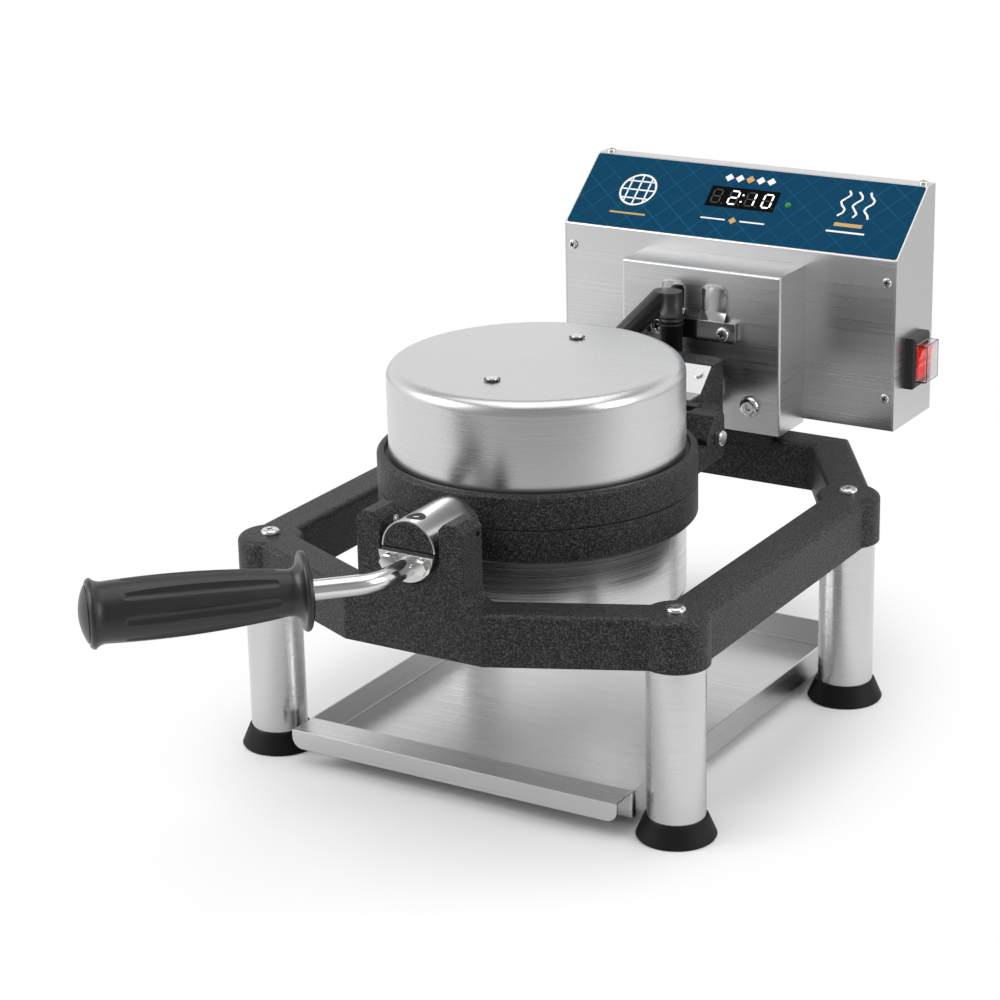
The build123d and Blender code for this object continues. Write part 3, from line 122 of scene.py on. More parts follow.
# Brushed stainless steel, grade 304 with a number 4 finish: abrasive-belt lines run along the
# sheet, so reflections smear across them. The real lines are about 0.05 mm apart; here they
# are drawn at about 1 mm, as coarse as they need to be to show.
def brushed_stainless(name, colour, roughness, along=5, across=900, depth=0.02):
    finish, tree, shader, place = new_finish(name, colour, Metallic=1.0, Roughness=roughness)
    turned = add_node(tree, "ShaderNodeNewGeometry").outputs["Normal"]
    facing = add_node(tree, "ShaderNodeSeparateXYZ", links={0: turned})
    level = add_node(tree, "ShaderNodeMath", {"operation": "ABSOLUTE"}, {0: facing.outputs["Z"]})
    is_level = add_node(tree, "ShaderNodeMath", {"operation": "GREATER_THAN", 1: 0.72},
                        {0: level.outputs[0]})
    upright = add_node(tree, "ShaderNodeMapping", {"Scale": (along, along, across)}, {"Vector": place})
    flat = add_node(tree, "ShaderNodeMapping", {"Scale": (along, across, along)}, {"Vector": place})
    run = add_node(tree, "ShaderNodeMix", {"data_type": "VECTOR"},
                   {0: is_level.outputs[0], 4: upright.outputs[0], 5: flat.outputs[0]})
    lines = add_node(tree, "ShaderNodeTexNoise", {"Scale": 1, "Detail": 2, "Roughness": 0.6},
                     {"Vector": run.outputs[1]})
    rough = add_node(tree, "ShaderNodeMapRange",
                     {"From Min": 0.3, "From Max": 0.7, "To Min": roughness - 0.05,
                      "To Max": roughness + 0.05}, {"Value": lines.outputs["Fac"]})
    edge = add_node(tree, "ShaderNodeBevel", {"samples": 4, "Radius": 0.5 * MM})
    bump = add_node(tree, "ShaderNodeBump", {"Strength": depth, "Distance": 0.05 * MM},
                    {"Height": lines.outputs["Fac"], "Normal": edge.outputs["Normal"]})
    tree.links.new(rough.outputs[0], shader.inputs["Roughness"])
    tree.links.new(bump.outputs["Normal"], shader.inputs["Normal"])
    return finish


# Machined and tumbled stainless fasteners: bright, with faint turning marks.
def turned_stainless():
    finish, tree, shader, place = new_finish("turned_stainless", "#DADAD8", Metallic=1.0, Roughness=0.16)
    marks = add_node(tree, "ShaderNodeTexNoise", {"Scale": 700, "Detail": 2}, {"Vector": place})
    rough = add_node(tree, "ShaderNodeMapRange", {"To Min": 0.10, "To Max": 0.26},
                     {"Value": marks.outputs["Fac"]})
    edge = add_node(tree, "ShaderNodeBevel", {"samples": 4, "Radius": 0.3 * MM})
    tree.links.new(rough.outputs[0], shader.inputs["Roughness"])
    tree.links.new(edge.outputs["Normal"], shader.inputs["Normal"])
    return finish


# Black glass-filled nylon and phenolic: moulded, so a soft sheen with a faint flow in it.
def moulded_black(name, colour, roughness, grain_mm, depth, round_mm=0.5, **more):
    finish, tree, shader, place = new_finish(name, colour, Roughness=roughness, **more)
    grain = add_node(tree, "ShaderNodeTexNoise", {"Scale": 1 / (grain_mm * MM), "Detail": 2},
                     {"Vector": place})
    flow = add_node(tree, "ShaderNodeTexNoise", {"Scale": 35, "Detail": 1}, {"Vector": place})
    rough = add_node(tree, "ShaderNodeMapRange", {"To Min": roughness - 0.07, "To Max": roughness + 0.1},
                     {"Value": flow.outputs["Fac"]})
    edge = add_node(tree, "ShaderNodeBevel", {"samples": 6, "Radius": round_mm * MM})
    bump = add_node(tree, "ShaderNodeBump", {"Strength": depth, "Distance": 0.15 * MM},
                    {"Height": grain.outputs["Fac"], "Normal": edge.outputs["Normal"]})
    tree.links.new(rough.outputs[0], shader.inputs["Roughness"])
    tree.links.new(bump.outputs["Normal"], shader.inputs["Normal"])
    return finish


# Waffle plates: cast aluminium with a dark ceramic-filled non-stick coat, slightly speckled.
def non_stick_aluminium():
    finish, tree, shader, place = new_finish("non_stick_aluminium", "#343332", Roughness=0.38)
    specks = add_node(tree, "ShaderNodeTexNoise", {"Scale": 1200, "Detail": 2}, {"Vector": place})
    two_tone(tree, shader, specks.outputs["Fac"], "#282726", "#4A4846", 0.42, 0.75)
    edge = add_node(tree, "ShaderNodeBevel", {"samples": 4, "Radius": 0.8 * MM})
    bump = add_node(tree, "ShaderNodeBump", {"Strength": 0.15, "Distance": 0.2 * MM},
                    {"Height": specks.outputs["Fac"], "Normal": edge.outputs["Normal"]})
    tree.links.new(bump.outputs["Normal"], shader.inputs["Normal"])
    return finish


# Element sheath: nickel alloy tube, tinted brown and blue by heat.
def heat_tinted_alloy():
    finish, tree, shader, place = new_finish("heat_tinted_alloy", "#6F655C", Metallic=1.0, Roughness=0.48)
    tint = add_node(tree, "ShaderNodeTexNoise", {"Scale": 30, "Detail": 3}, {"Vector": place})
    two_tone(tree, shader, tint.outputs["Fac"], "#5A4C42", "#7C7D86", 0.35, 0.7)
    return finish


# Sintered bronze: pressed powder, so dull gold with fine pores.
def sintered_bronze():
    finish, tree, shader, place = new_finish("sintered_bronze", "#A9834A", Metallic=1.0, Roughness=0.4)
    pores = add_node(tree, "ShaderNodeTexNoise", {"Scale": 1500, "Detail": 2}, {"Vector": place})
    two_tone(tree, shader, pores.outputs["Fac"], "#6B5230", "#B8925A", 0.3, 0.55)
    return finish


# Label: polyester film printed from behind. The blue ground carries a paler lattice of thin
# lines, like a waffle seen from above, at a pitch of 15 mm.
def printed_film():
    finish, tree, shader, place = new_finish("printed_film", "#06405E", Roughness=0.5,
                                             Specular_IOR_Level=0.05)
    turned = add_node(tree, "ShaderNodeMapping", {"Location": tuple(-label_low)}, {"Vector": place})
    flat = add_node(tree, "ShaderNodeMapping", {"Rotation": (-label_tilt, 0, 0)},
                    {"Vector": turned.outputs[0]})
    diamond = add_node(tree, "ShaderNodeMapping", {"Rotation": (0, 0, math.radians(38))},
                       {"Vector": flat.outputs[0]})
    axes = add_node(tree, "ShaderNodeSeparateXYZ", links={0: diamond.outputs[0]})
    lines = []
    for axis in ("X", "Y"):
        wave = add_node(tree, "ShaderNodeMath", {"operation": "PINGPONG", 1: 7.5 * MM},
                        {0: axes.outputs[axis]})
        lines.append(add_node(tree, "ShaderNodeMath", {"operation": "LESS_THAN", 1: 0.32 * MM},
                              {0: wave.outputs[0]}))
    lattice = add_node(tree, "ShaderNodeMath", {"operation": "MAXIMUM"},
                       {0: lines[0].outputs[0], 1: lines[1].outputs[0]})
    fade = add_node(tree, "ShaderNodeTexNoise", {"Scale": 26, "Detail": 1}, {"Vector": place})
    soft = add_node(tree, "ShaderNodeMath", {"operation": "MULTIPLY"},
                    {0: lattice.outputs[0], 1: fade.outputs["Fac"]})
    two_tone(tree, shader, soft.outputs[0], "#06405E", "#1E6285", 0.05, 0.95)
    return finish


# Inks on the label: screen-printed, opaque, half matt.
def screen_ink(name, colour):
    finish, tree, shader, place = new_finish(name, colour, Roughness=0.5)
    mesh = add_node(tree, "ShaderNodeTexNoise", {"Scale": 2200, "Detail": 1}, {"Vector": place})
    rough = add_node(tree, "ShaderNodeMapRange", {"To Min": 0.42, "To Max": 0.58},
                     {"Value": mesh.outputs["Fac"]})
    tree.links.new(rough.outputs[0], shader.inputs["Roughness"])
    return finish


# Small lit things: diffused from behind, so even and a little brighter than their surroundings.
def lit_plastic(name, colour, glow, strength, roughness=0.3, **more):
    finish, tree, shader, place = new_finish(name, colour, Roughness=roughness,
                                             Emission_Strength=strength, **more)
    shader.inputs["Emission Color"].default_value = paint(glow)
    cloud = add_node(tree, "ShaderNodeTexNoise", {"Scale": 180, "Detail": 1}, {"Vector": place})
    rough = add_node(tree, "ShaderNodeMapRange", {"To Min": roughness - 0.08, "To Max": roughness + 0.08},
                     {"Value": cloud.outputs["Fac"]})
    tree.links.new(rough.outputs[0], shader.inputs["Roughness"])
    return finish


# Clear silicone: dip-moulded, glossy, a touch milky.
def clear_silicone():
    finish, tree, shader, place = new_finish("clear_silicone", "#FCFAFA", Roughness=0.05, IOR=1.41,
                                             Transmission_Weight=1.0)
    skin = add_node(tree, "ShaderNodeTexNoise", {"Scale": 120, "Detail": 2}, {"Vector": place})
    bump = add_node(tree, "ShaderNodeBump", {"Strength": 0.1, "Distance": 0.3 * MM},
                    {"Height": skin.outputs["Fac"]})
    tree.links.new(bump.outputs["Normal"], shader.inputs["Normal"])
    return finish


# Moulded or pressed stock of one colour, with a faint mottle.
def mottled(name, dark, light, roughness, **more):
    finish, tree, shader, place = new_finish(name, light, Roughness=roughness, **more)
    cloud = add_node(tree, "ShaderNodeTexNoise", {"Scale": 260, "Detail": 3}, {"Vector": place})
    two_tone(tree, shader, cloud.outputs["Fac"], dark, light, 0.3, 0.7)
    return finish


casting = powder_coated_casting()
sheet_steel = brushed_stainless("brushed_sheet_stainless", "#D6D6D6", 0.31, depth=0.006)
spun_steel = brushed_stainless("spun_cover_stainless", "#D0D0D0", 0.29, along=4, across=1100, depth=0.022)
tube_steel = brushed_stainless("brushed_tube_stainless", "#CECECE", 0.24, depth=0.012)
bracket_steel = brushed_stainless("polished_bracket_stainless", "#C8C8C8", 0.13, depth=0.01)
rod_steel = brushed_stainless("satin_rod_stainless", "#DCDCDC", 0.17, along=20, across=420, depth=0.02)
fastener_steel = turned_stainless()
grip_black = moulded_black("phenolic_grip", "#222223", 0.33, 0.9, 0.12)
conduit_black = moulded_black("sleeved_conduit", "#1E1E1F", 0.42, 1.3, 0.25, round_mm=2.2)
nylon_black = moulded_black("moulded_nylon", "#1A1A1B", 0.4, 0.7, 0.1)
rubber_black = moulded_black("moulded_rubber", "#0C0C0D", 0.56, 0.8, 0.2, Specular_IOR_Level=0.25)
waffle_coat = non_stick_aluminium()
element_alloy = heat_tinted_alloy()
bronze = sintered_bronze()
label_film = printed_film()
white_ink = screen_ink("white_screen_ink", "#F4F5F3")
gold_ink = screen_ink("gold_screen_ink", "#C9A25C")
smoked_window = mottled("smoked_acrylic", "#040404", "#060606", 0.3, Specular_IOR_Level=0.03)
lit_segment = lit_plastic("lit_segment", "#F5F8F8", "#F2F8FA", 0.9)
dark_segment = mottled("unlit_segment", "#4A4644", "#565250", 0.4, Specular_IOR_Level=0.1)
green_lens = lit_plastic("lit_green_lens", "#0B6B1C", "#0F9A28", 0.25, 0.12)
red_rocker = lit_plastic("lit_red_polycarbonate", "#C4120C", "#FF1A0C", 0.4, 0.2, Specular_IOR_Level=0.3)
boot_clear = clear_silicone()
board_green = mottled("fibreglass_board", "#0F3B22", "#1C5A35", 0.45)
terminal_nylon = mottled("natural_nylon", "#D0CCC0", "#E4E0D6", 0.5)
# Painted shade: near-black pieces laid in screw recesses and round screw heads, where shade falls
painted_screw_shade = mottled("painted_shade_at_screws", "#0D0D0D", "#171717", 0.6)

finish_of = {
    casting: ["frame_casting", "upper_ring", "lower_ring", "hub_casting"],
    sheet_steel: ["bearing_housing", "control_box_cover", "control_box_chassis", "drip_tray", "wiring_cover",
                  "trunnion_shell", "handle_plate"],
    bracket_steel: ["clip_bracket"],
    spun_steel: ["upper_cover", "lower_cover"],
    tube_steel: ["leg_front_left", "leg_front_right", "leg_back_left", "leg_back_right", "rear_shaft"],
    rod_steel: ["handle_rod"],
    fastener_steel: ["leg_screws", "lid_screws", "handle_bolts", "rotor_screws", "hinge_pin",
                     "hinge_pin_clip", "thrust_washers", "shaft_nut", "flip_magnet", "housing_bolts",
                     "box_screws", "plunger_barrels", "plunger_nose_left", "plunger_nose_right"],
    grip_black: ["handle_grip"],
    conduit_black: ["lead_conduit"],
    nylon_black: ["yoke_lining", "leg_plugs", "magnet_ring", "flip_sensor", "switch_body"],
    rubber_black: ["foot_front_left", "foot_front_right", "foot_back_left", "foot_back_right",
                   "tray_bumpers", "cord_gland"],
    waffle_coat: ["upper_grid", "lower_grid"],
    element_alloy: ["upper_element", "lower_element"],
    bronze: ["rear_bush"],
    label_film: ["label_panel"],
    smoked_window: ["display_window"],
    green_lens: ["indicator_lamp"],
    red_rocker: ["switch_rocker"],
    boot_clear: ["switch_boot"],
    board_green: ["control_board"],
    terminal_nylon: ["display_module", "terminal_block"],
}
for finish, names in finish_of.items():
    for name in names:
        parts[name].data.materials.clear()
        parts[name].data.materials.append(finish)


# Modelling helpers
def start_fresh():
    """Deselect everything, so that an operator acts on the next piece only."""
    bpy.ops.object.select_all(action="DESELECT")


def pick(piece):
    """Make this piece the only selected one."""
    start_fresh()
    piece.select_set(True)
    bpy.context.view_layer.objects.active = piece


def join_up(pieces):
    """Join several loose pieces into the first."""
    start_fresh()
    for piece in pieces:
        piece.select_set(True)
    bpy.context.view_layer.objects.active = pieces[0]
    if len(pieces) > 1:
        bpy.ops.object.join()
    return pieces[0]


def fix_in_mesh(piece, place=True):
    """Move a piece's scale, and its place and turn too, into its mesh."""
    pick(piece)
    bpy.ops.object.transform_apply(location=place, rotation=place, scale=True)


def shape(piece, kind, **settings):
    """Add one modifier with these settings and apply it."""
    pick(piece)
    step = piece.modifiers.new("step", kind)
    for setting, value in settings.items():
        setattr(step, setting, value)
    bpy.ops.object.modifier_apply(modifier="step")


def combine(piece, operation, tool):
    """Fuse another solid with this one, or cut it out, and delete it."""
    shape(piece, "BOOLEAN", operation=operation, solver="EXACT", object=tool)
    bpy.data.objects.remove(tool)


def flat_plate(wide, long, corner, thick, segments=6, offset=0):
    """A plate with rounded corners, lying on the origin."""
    start_fresh()
    bpy.ops.mesh.primitive_plane_add(size=1)
    plate = bpy.context.object
    plate.scale = (wide, long, 1)
    fix_in_mesh(plate, place=False)
    shape(plate, "BEVEL", affect="VERTICES", width=corner, segments=segments)
    shape(plate, "SOLIDIFY", thickness=thick, offset=offset)
    return plate


def flat_ring(sides, radius, line):
    """A round line of this width, lying on the origin: a disc, inset, with its middle taken out."""
    start_fresh()
    bpy.ops.mesh.primitive_circle_add(vertices=sides, radius=radius, fill_type="NGON")
    ring = bpy.context.object
    bpy.ops.object.mode_set(mode="EDIT")
    bpy.ops.mesh.select_all(action="SELECT")
    bpy.ops.mesh.inset(thickness=line)
    bpy.ops.mesh.delete(type="FACE")
    bpy.ops.object.mode_set(mode="OBJECT")
    return ring


def settle(piece, name, body, material, crease=35):
    """Finish a piece: its place goes into its mesh, then it gets its name, finish and body."""
    fix_in_mesh(piece)
    piece.name = name
    piece.data.name = name
    piece.data.materials.clear()
    piece.data.materials.append(material)
    bpy.ops.object.shade_smooth_by_angle(angle=math.radians(crease))
    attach(piece, body)
    return piece


def set_facing(piece, place, out, turn=0.0):
    """Put a piece that was made lying at the origin with its top towards out, at this place."""
    tilt = Vector((0, 0, 1)).rotation_difference(Vector(out)).to_matrix().to_4x4()
    piece.matrix_world = Matrix.Translation(Vector(place)) @ tilt @ Matrix.Rotation(turn, 4, "Z")


# Screw heads: one pan head with a cross recess, copied to every place. The recess's length and
# width are parts of the head's radius; a dark pad at its floor is painted shade.
recess_reach, recess_wide = 1.08, 0.36
recess_deep = 0.95
floor_level = 0.56


def cross_head(radius, high, crown=0.62):
    """A domed head with a cross-shaped recess, standing on the origin."""
    start_fresh()
    bpy.ops.mesh.primitive_cylinder_add(vertices=40, radius=radius, depth=2 * high)
    head = bpy.context.object
    shape(head, "BEVEL", width=high * crown, segments=5, limit_method="ANGLE")
    bpy.ops.object.mode_set(mode="EDIT")
    bpy.ops.mesh.select_all(action="SELECT")
    bpy.ops.mesh.bisect(plane_co=(0, 0, 0), plane_no=(0, 0, 1), use_fill=True, clear_inner=True)
    bpy.ops.object.mode_set(mode="OBJECT")
    for turn in (0, math.pi / 2):
        start_fresh()
        bpy.ops.mesh.primitive_cube_add(size=1)
        wing = bpy.context.object
        wing.scale = (radius * recess_reach, radius * recess_wide, high * recess_deep)
        wing.rotation_euler.z = turn
        wing.location.z = high
        fix_in_mesh(wing)
        combine(head, "DIFFERENCE", wing)
    return head


def cross_recess_shade(radius, high):
    """Painted shade for the floor of a cross recess: a dark cross of one long arm with a short one on each
    side.
    """
    wide, reach = radius * recess_wide, radius * recess_reach
    short = (reach - wide) / 2
    play = 0.98
    arms = []
    for side, long_y, wide_x in ((0, reach, wide), (1, wide, short), (-1, wide, short)):
        start_fresh()
        bpy.ops.mesh.primitive_plane_add(size=1, location=(side * (wide + short) / 2, 0, high * floor_level))
        arm = bpy.context.object
        arm.scale = (wide_x * play, long_y * play, 1)
        fix_in_mesh(arm)
        shape(arm, "SOLIDIFY", thickness=0.1 * MM)
        arms.append(arm)
    return join_up(arms)


def scatter(master, places, name, body, material):
    """Copies of a master at each (place, outward direction, turn), joined into one piece."""
    copies = []
    for place, out, turn in places:
        copy = master.copy()
        copy.data = master.data.copy()
        bpy.context.scene.collection.objects.link(copy)
        set_facing(copy, place, out, turn)
        fix_in_mesh(copy)
        copies.append(copy)
    bpy.data.objects.remove(master)
    return settle(join_up(copies), name, body, material)


front, up_z = Vector((0, -1, 0)), Vector((0, 0, 1))
# Radius and height of each size of head
box_size = (3.6 * MM, 1.9 * MM)
bracket_size = (5.2 * MM, 2.4 * MM)
cover_size = (4.06 * MM, 0.8 * MM)
cover_crown = 0.35
box_front = 266.38
box_screw_x = 128.4
box_corners = [(x, z) for z in (183.7, 269.7) for x in (-box_screw_x, box_screw_x)]
box_places = [((x * MM, box_front * MM, z * MM), front, 0.3 + 0.9 * n)
              for n, (x, z) in enumerate(box_corners)]
box_places += [((x * MM, 327.3 * MM, 329.32 * MM), up_z, 0.5) for x in (-box_screw_x, box_screw_x)]
box_heads = scatter(cross_head(*box_size), box_places, "box_screw_heads", "stand", fastener_steel)
bracket_low, bracket_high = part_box("clip_bracket")
bracket_front = bracket_low.y - 0.02 * MM
bracket_places = [((x * MM, bracket_front, 230 * MM), front, 0.4 + x) for x in (-31.4, 21.4)]
scatter(cross_head(*bracket_size), bracket_places, "bracket_screw_heads", "stand", fastener_steel)
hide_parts("box_screws")
# Dark pads of painted shade on the floors of the cross recesses
scatter(cross_recess_shade(*box_size), box_places, "box_screw_recess_shade", "stand", painted_screw_shade)
scatter(cross_recess_shade(*bracket_size), bracket_places, "bracket_screw_recess_shade", "stand", painted_screw_shade)

# Cover screws: a low cross-recessed head in a ring of painted shade, two on each cover
cover_screws_y = [iron_y + y * MM for y in (-55, 55)]
cover_face = cover_top + 0.1 * MM
underside_face = 2 * axis_z - cover_face


def cover_shade_rings(name, body, z):
    """Rings of painted shade round the two screws of a cover."""
    rings = []
    for y in cover_screws_y:
        start_fresh()
        bpy.ops.mesh.primitive_torus_add(major_radius=4.9 * MM, minor_radius=0.55 * MM, major_segments=48,
                                         minor_segments=10, location=(0, y, z))
        ring = bpy.context.object
        ring.scale = (1, 1, 0.35)
        rings.append(ring)
    return settle(join_up(rings), name, body, painted_screw_shade)


cover_shade_rings("upper_screw_shade_rings", "lid", cover_face)
cover_shade_rings("lower_screw_shade_rings", "iron", underside_face)
cover_heads = [((0, y, cover_face), up_z, turn) for y, turn in zip(cover_screws_y, (1.9487, 5.1345))]
scatter(cross_head(*cover_size, cover_crown), cover_heads, "cover_screw_heads", "lid", fastener_steel)
under_heads = [((0, y, underside_face), -up_z, turn) for y, turn in zip(cover_screws_y, (1.7487, 4.9345))]
scatter(cross_head(*cover_size, cover_crown), under_heads, "underside_screw_heads", "iron", fastener_steel)

# Trunnion screw: a ring of painted shade round its small bright head, draped on the shell and thinner
# there than the running gap
ring_proud = 0.02 * MM
trunnion_shade = flat_ring(48, 6.3 * MM, 4.1 * MM)
trunnion_shade.location.y = -158.2 * MM
bpy.ops.object.mode_set(mode="EDIT")
bpy.ops.mesh.select_all(action="SELECT")
bpy.ops.mesh.subdivide(number_cuts=2)
bpy.ops.object.mode_set(mode="OBJECT")
shell_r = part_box("trunnion_shell")[1].z - axis_z
for corner in trunnion_shade.data.vertices:
    corner.co.z = axis_z + math.sqrt(shell_r ** 2 - corner.co.x ** 2) + ring_proud
shape(trunnion_shade, "SOLIDIFY", thickness=0.25 * MM)
settle(trunnion_shade, "trunnion_screw_painted_shade", "lid", painted_screw_shade)

# Handle bolts: flanged collars under the two hexagon heads
plate_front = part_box("handle_plate")[0].y
collars = []
for x in (-12.4, 12.4):
    start_fresh()
    bpy.ops.mesh.primitive_cylinder_add(vertices=40, radius=5.9 * MM, depth=0.9 * MM,
                                        location=(x * MM, plate_front - 0.47 * MM, axis_z - 8 * MM),
                                        rotation=(math.pi / 2, 0, 0))
    collar = bpy.context.object
    shape(collar, "BEVEL", width=0.3 * MM, segments=2)
    collars.append(collar)
settle(join_up(collars), "bolt_washers", "iron", fastener_steel)

# Bracket: one folded sheet, with a band in front and a narrow shelf on it. From the front edge two
# tongues slope back and then stand upright beside the housing.
sheet_thick = 1.2 * MM
shelf_z = 238.6 * MM
tongue_back_y = bracket_high.y - 0.7 * MM
tongue_slope = math.radians(-37)
tongue_apart = 16.8 * MM


def bracket_sheet(wide, long, corner, place, turn, thick=sheet_thick):
    """A plate of the bracket, its middle at this place, turned about the X axis."""
    plate = flat_plate(wide, long, corner, thick)
    plate.matrix_world = Matrix.Translation(place) @ Matrix.Rotation(turn, 4, "X")
    fix_in_mesh(plate)
    return plate


bracket_mid = (bracket_low.x + bracket_high.x) / 2
bracket_wide = bracket_high.x - bracket_low.x
band_high = shelf_z - bracket_low.z
band_y = bracket_low.y + sheet_thick / 2
band_z = bracket_low.z + band_high / 2
shelf_deep = bracket_high.y - bracket_low.y
shelf_y = bracket_low.y + shelf_deep / 2
upright = math.pi / 2
bracket = bracket_sheet(bracket_wide, band_high, 2 * MM, Vector((bracket_mid, band_y, band_z)), upright)
shelf_place = Vector((bracket_mid, shelf_y, shelf_z - sheet_thick / 2))
combine(bracket, "UNION", bracket_sheet(bracket_wide - 1 * MM, shelf_deep, 0.4 * MM, shelf_place, 0))
slope_long = (tongue_back_y - band_y) / math.sin(-tongue_slope)
slope_y = (tongue_back_y + band_y) / 2
slope_z = shelf_z - 0.6 * MM + slope_long * math.cos(tongue_slope) / 2
tongue_low = shelf_z + 1 * MM
tongue_long = bracket_high.z - tongue_low
for side in (-1, 1):
    tongue_x = bracket_mid + side * tongue_apart
    slope_place = Vector((tongue_x, slope_y, slope_z))
    tongue_place = Vector((tongue_x, tongue_back_y, tongue_low + tongue_long / 2))
    combine(bracket, "UNION",
            bracket_sheet(20.2 * MM, slope_long, 0.5 * MM, slope_place, upright + tongue_slope))
    combine(bracket, "UNION", bracket_sheet(20 * MM, tongue_long, 5.5 * MM, tongue_place, upright))
for x in (bracket_low.x + sheet_thick, bracket_high.x - sheet_thick):
    end_place = Vector((x, shelf_y, band_z))
    combine(bracket, "UNION",
            bracket_sheet(sheet_thick, shelf_deep, 0.2 * MM, end_place, 0, band_high - 2 * MM))
shape(bracket, "BEVEL", width=0.35 * MM, segments=2, limit_method="ANGLE")
settle(bracket, "folded_bracket", "stand", bracket_steel)
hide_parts("clip_bracket")

# Conduit: its elbow is cut off flat, just under the tops of the bracket's tongues
elbow_z = 260.8 * MM
conduit = bpy.data.objects.new("conduit", parts["lead_conduit"].data.copy())
bpy.context.scene.collection.objects.link(conduit)
pick(conduit)
bpy.ops.object.mode_set(mode="EDIT")
bpy.ops.mesh.select_all(action="SELECT")
bpy.ops.mesh.remove_doubles(threshold=0.01 * MM)
bpy.ops.mesh.select_all(action="SELECT")
bpy.ops.mesh.bisect(plane_co=(0, 0, elbow_z), plane_no=(0, 0, 1), use_fill=True, clear_outer=True)
bpy.ops.object.mode_set(mode="OBJECT")
settle(conduit, "cut_conduit", "iron", conduit_black)
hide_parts("lead_conduit")

# Beaded rings where the sleeve meets its fitting
beads = []
for z in (237.0, 242.8):
    start_fresh()
    bpy.ops.mesh.primitive_torus_add(major_radius=8.6 * MM, minor_radius=0.75 * MM, major_segments=48,
                                     minor_segments=10, location=(-14.5 * MM, 208 * MM, z * MM))
    beads.append(bpy.context.object)
settle(join_up(beads), "conduit_beads", "iron", conduit_black)


# Label print
def label_matrix(x, s, out, turn=0.0):
    """Place on the label: x across, s up the slope and out from it in millimetres, turned in its plane."""
    place = label_low + Vector((x * MM, 0, 0)) + label_up * (s * MM) + label_out * out
    return Matrix.Translation(place) @ Matrix.Rotation(label_tilt, 4, "X") @ Matrix.Rotation(turn, 4, "Z")


def ink_bar(x, s, wide, high, turn=0.0, out=label_face):
    """A straight bar of ink."""
    start_fresh()
    bpy.ops.mesh.primitive_plane_add(size=1)
    bar = bpy.context.object
    bar.scale = (wide * MM, high * MM, 1)
    fix_in_mesh(bar, place=False)
    bar.matrix_world = label_matrix(x, s, out, turn)
    return bar


def ink_ring(x, s, radius, line):
    """A round line of ink."""
    ring = flat_ring(72, radius * MM, line * MM)
    ring.matrix_world = label_matrix(x, s, label_face)
    return ring


def print_ink(strokes, name, material, thick=0.04):
    """Join strokes of one ink and give them a film's thickness."""
    art = join_up(strokes)
    shape(art, "SOLIDIFY", thickness=thick * MM, offset=1)
    settle(art, name, "stand", material)


# Film: it covers the slope to within a millimetre, and is cut out round the window and the lamp
film_half, film_foot, film_head, film_thick = 134.2, 1.2, 67.6, 0.5
window_middle, window_wide, window_high = (-1.6, 39.2), 56, 18.8
lamp_middle, lamp_hole_r = (35.8, 38.2), 2.55
tool_deep = 4 * MM
film = flat_plate(2 * film_half * MM, (film_head - film_foot) * MM, 1.6 * MM, film_thick * MM, 4, 1)
film.matrix_world = label_matrix(0, (film_head + film_foot) / 2, label_face - film_thick * MM)
start_fresh()
bpy.ops.mesh.primitive_cube_add(size=1)
window_tool = bpy.context.object
window_tool.scale = (window_wide * MM, window_high * MM, tool_deep)
fix_in_mesh(window_tool, place=False)
window_tool.matrix_world = label_matrix(*window_middle, label_face)
start_fresh()
bpy.ops.mesh.primitive_cylinder_add(vertices=48, radius=lamp_hole_r * MM, depth=tool_deep)
lamp_tool = bpy.context.object
lamp_tool.matrix_world = label_matrix(*lamp_middle, label_face)
combine(film, "DIFFERENCE", window_tool)
combine(film, "DIFFERENCE", lamp_tool)
settle(film, "label_film", "stand", label_film)
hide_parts("label_panel")

# Left of the window: a round waffle from above; right: three rising lines of steam over a plate;
# round the window: a row of diamonds over it, and a diamond between two bars under it
art_x, waffle_s, mid_x = 88, 37, -2
diamonds_s, bars_s = 57.4, 18.5
rim_r = 15
chord_r = rim_r - 1.4
steam_foot, steam_step, steam_sway = 35, 3.4, 2.2
white_strokes = [ink_ring(-art_x, waffle_s, rim_r, 1.6)]
for step in (-8, 0, 8):
    chord = 2 * math.sqrt(chord_r ** 2 - step ** 2)
    white_strokes.append(ink_bar(-art_x + step, waffle_s, 1.3, chord))
    white_strokes.append(ink_bar(-art_x, waffle_s + step, chord, 1.3))
for column, shift in enumerate((-10, 0, 10)):
    for step in range(7):
        phase = step * math.pi / 2.2 + column
        sway = steam_sway * math.sin(phase)
        lean = math.atan(steam_sway * math.cos(phase) * 0.5)
        white_strokes.append(ink_bar(art_x + shift + sway, steam_foot + step * steam_step, 1.6, 4.2, -lean))
white_strokes.append(ink_bar(art_x, 19.5, 30, 1.6))
for step in (-2, -1, 1, 2):
    white_strokes.append(ink_bar(mid_x + step * 8.6, diamonds_s, 5.2, 5.2, math.pi / 4))
white_strokes += [ink_bar(mid_x + side * 16, bars_s, 20, 1.3) for side in (-1, 1)]
print_ink(white_strokes, "white_label_print", white_ink)
gold_strokes = [ink_bar(mid_x, diamonds_s, 5.2, 5.2, math.pi / 4), ink_bar(art_x, 26, 22, 3.2),
                ink_bar(-art_x, 14.5, 30, 1.6), ink_bar(mid_x, bars_s, 4.6, 4.6, math.pi / 4)]
print_ink(gold_strokes, "gold_label_print", gold_ink)


# Display: four seven-segment figures, lit white on unlit grey
def segment(x, s, long, turn, thick):
    """One bar with pointed ends."""
    start_fresh()
    bpy.ops.mesh.primitive_circle_add(vertices=6, radius=1, fill_type="NGON", rotation=(0, 0, math.pi / 2))
    bar = bpy.context.object
    bpy.ops.object.transform_apply(location=False, rotation=True, scale=True)
    for corner in bar.data.vertices:
        tip = abs(corner.co.y) < 0.1
        side = math.copysign(1, corner.co.x)
        corner.co.x = side * (long / 2 if tip else (long - thick) / 2) * MM
        corner.co.y = 0 if tip else math.copysign(thick / 2, corner.co.y) * MM
    bar.matrix_world = label_matrix(x, s, window_face, turn)
    return bar


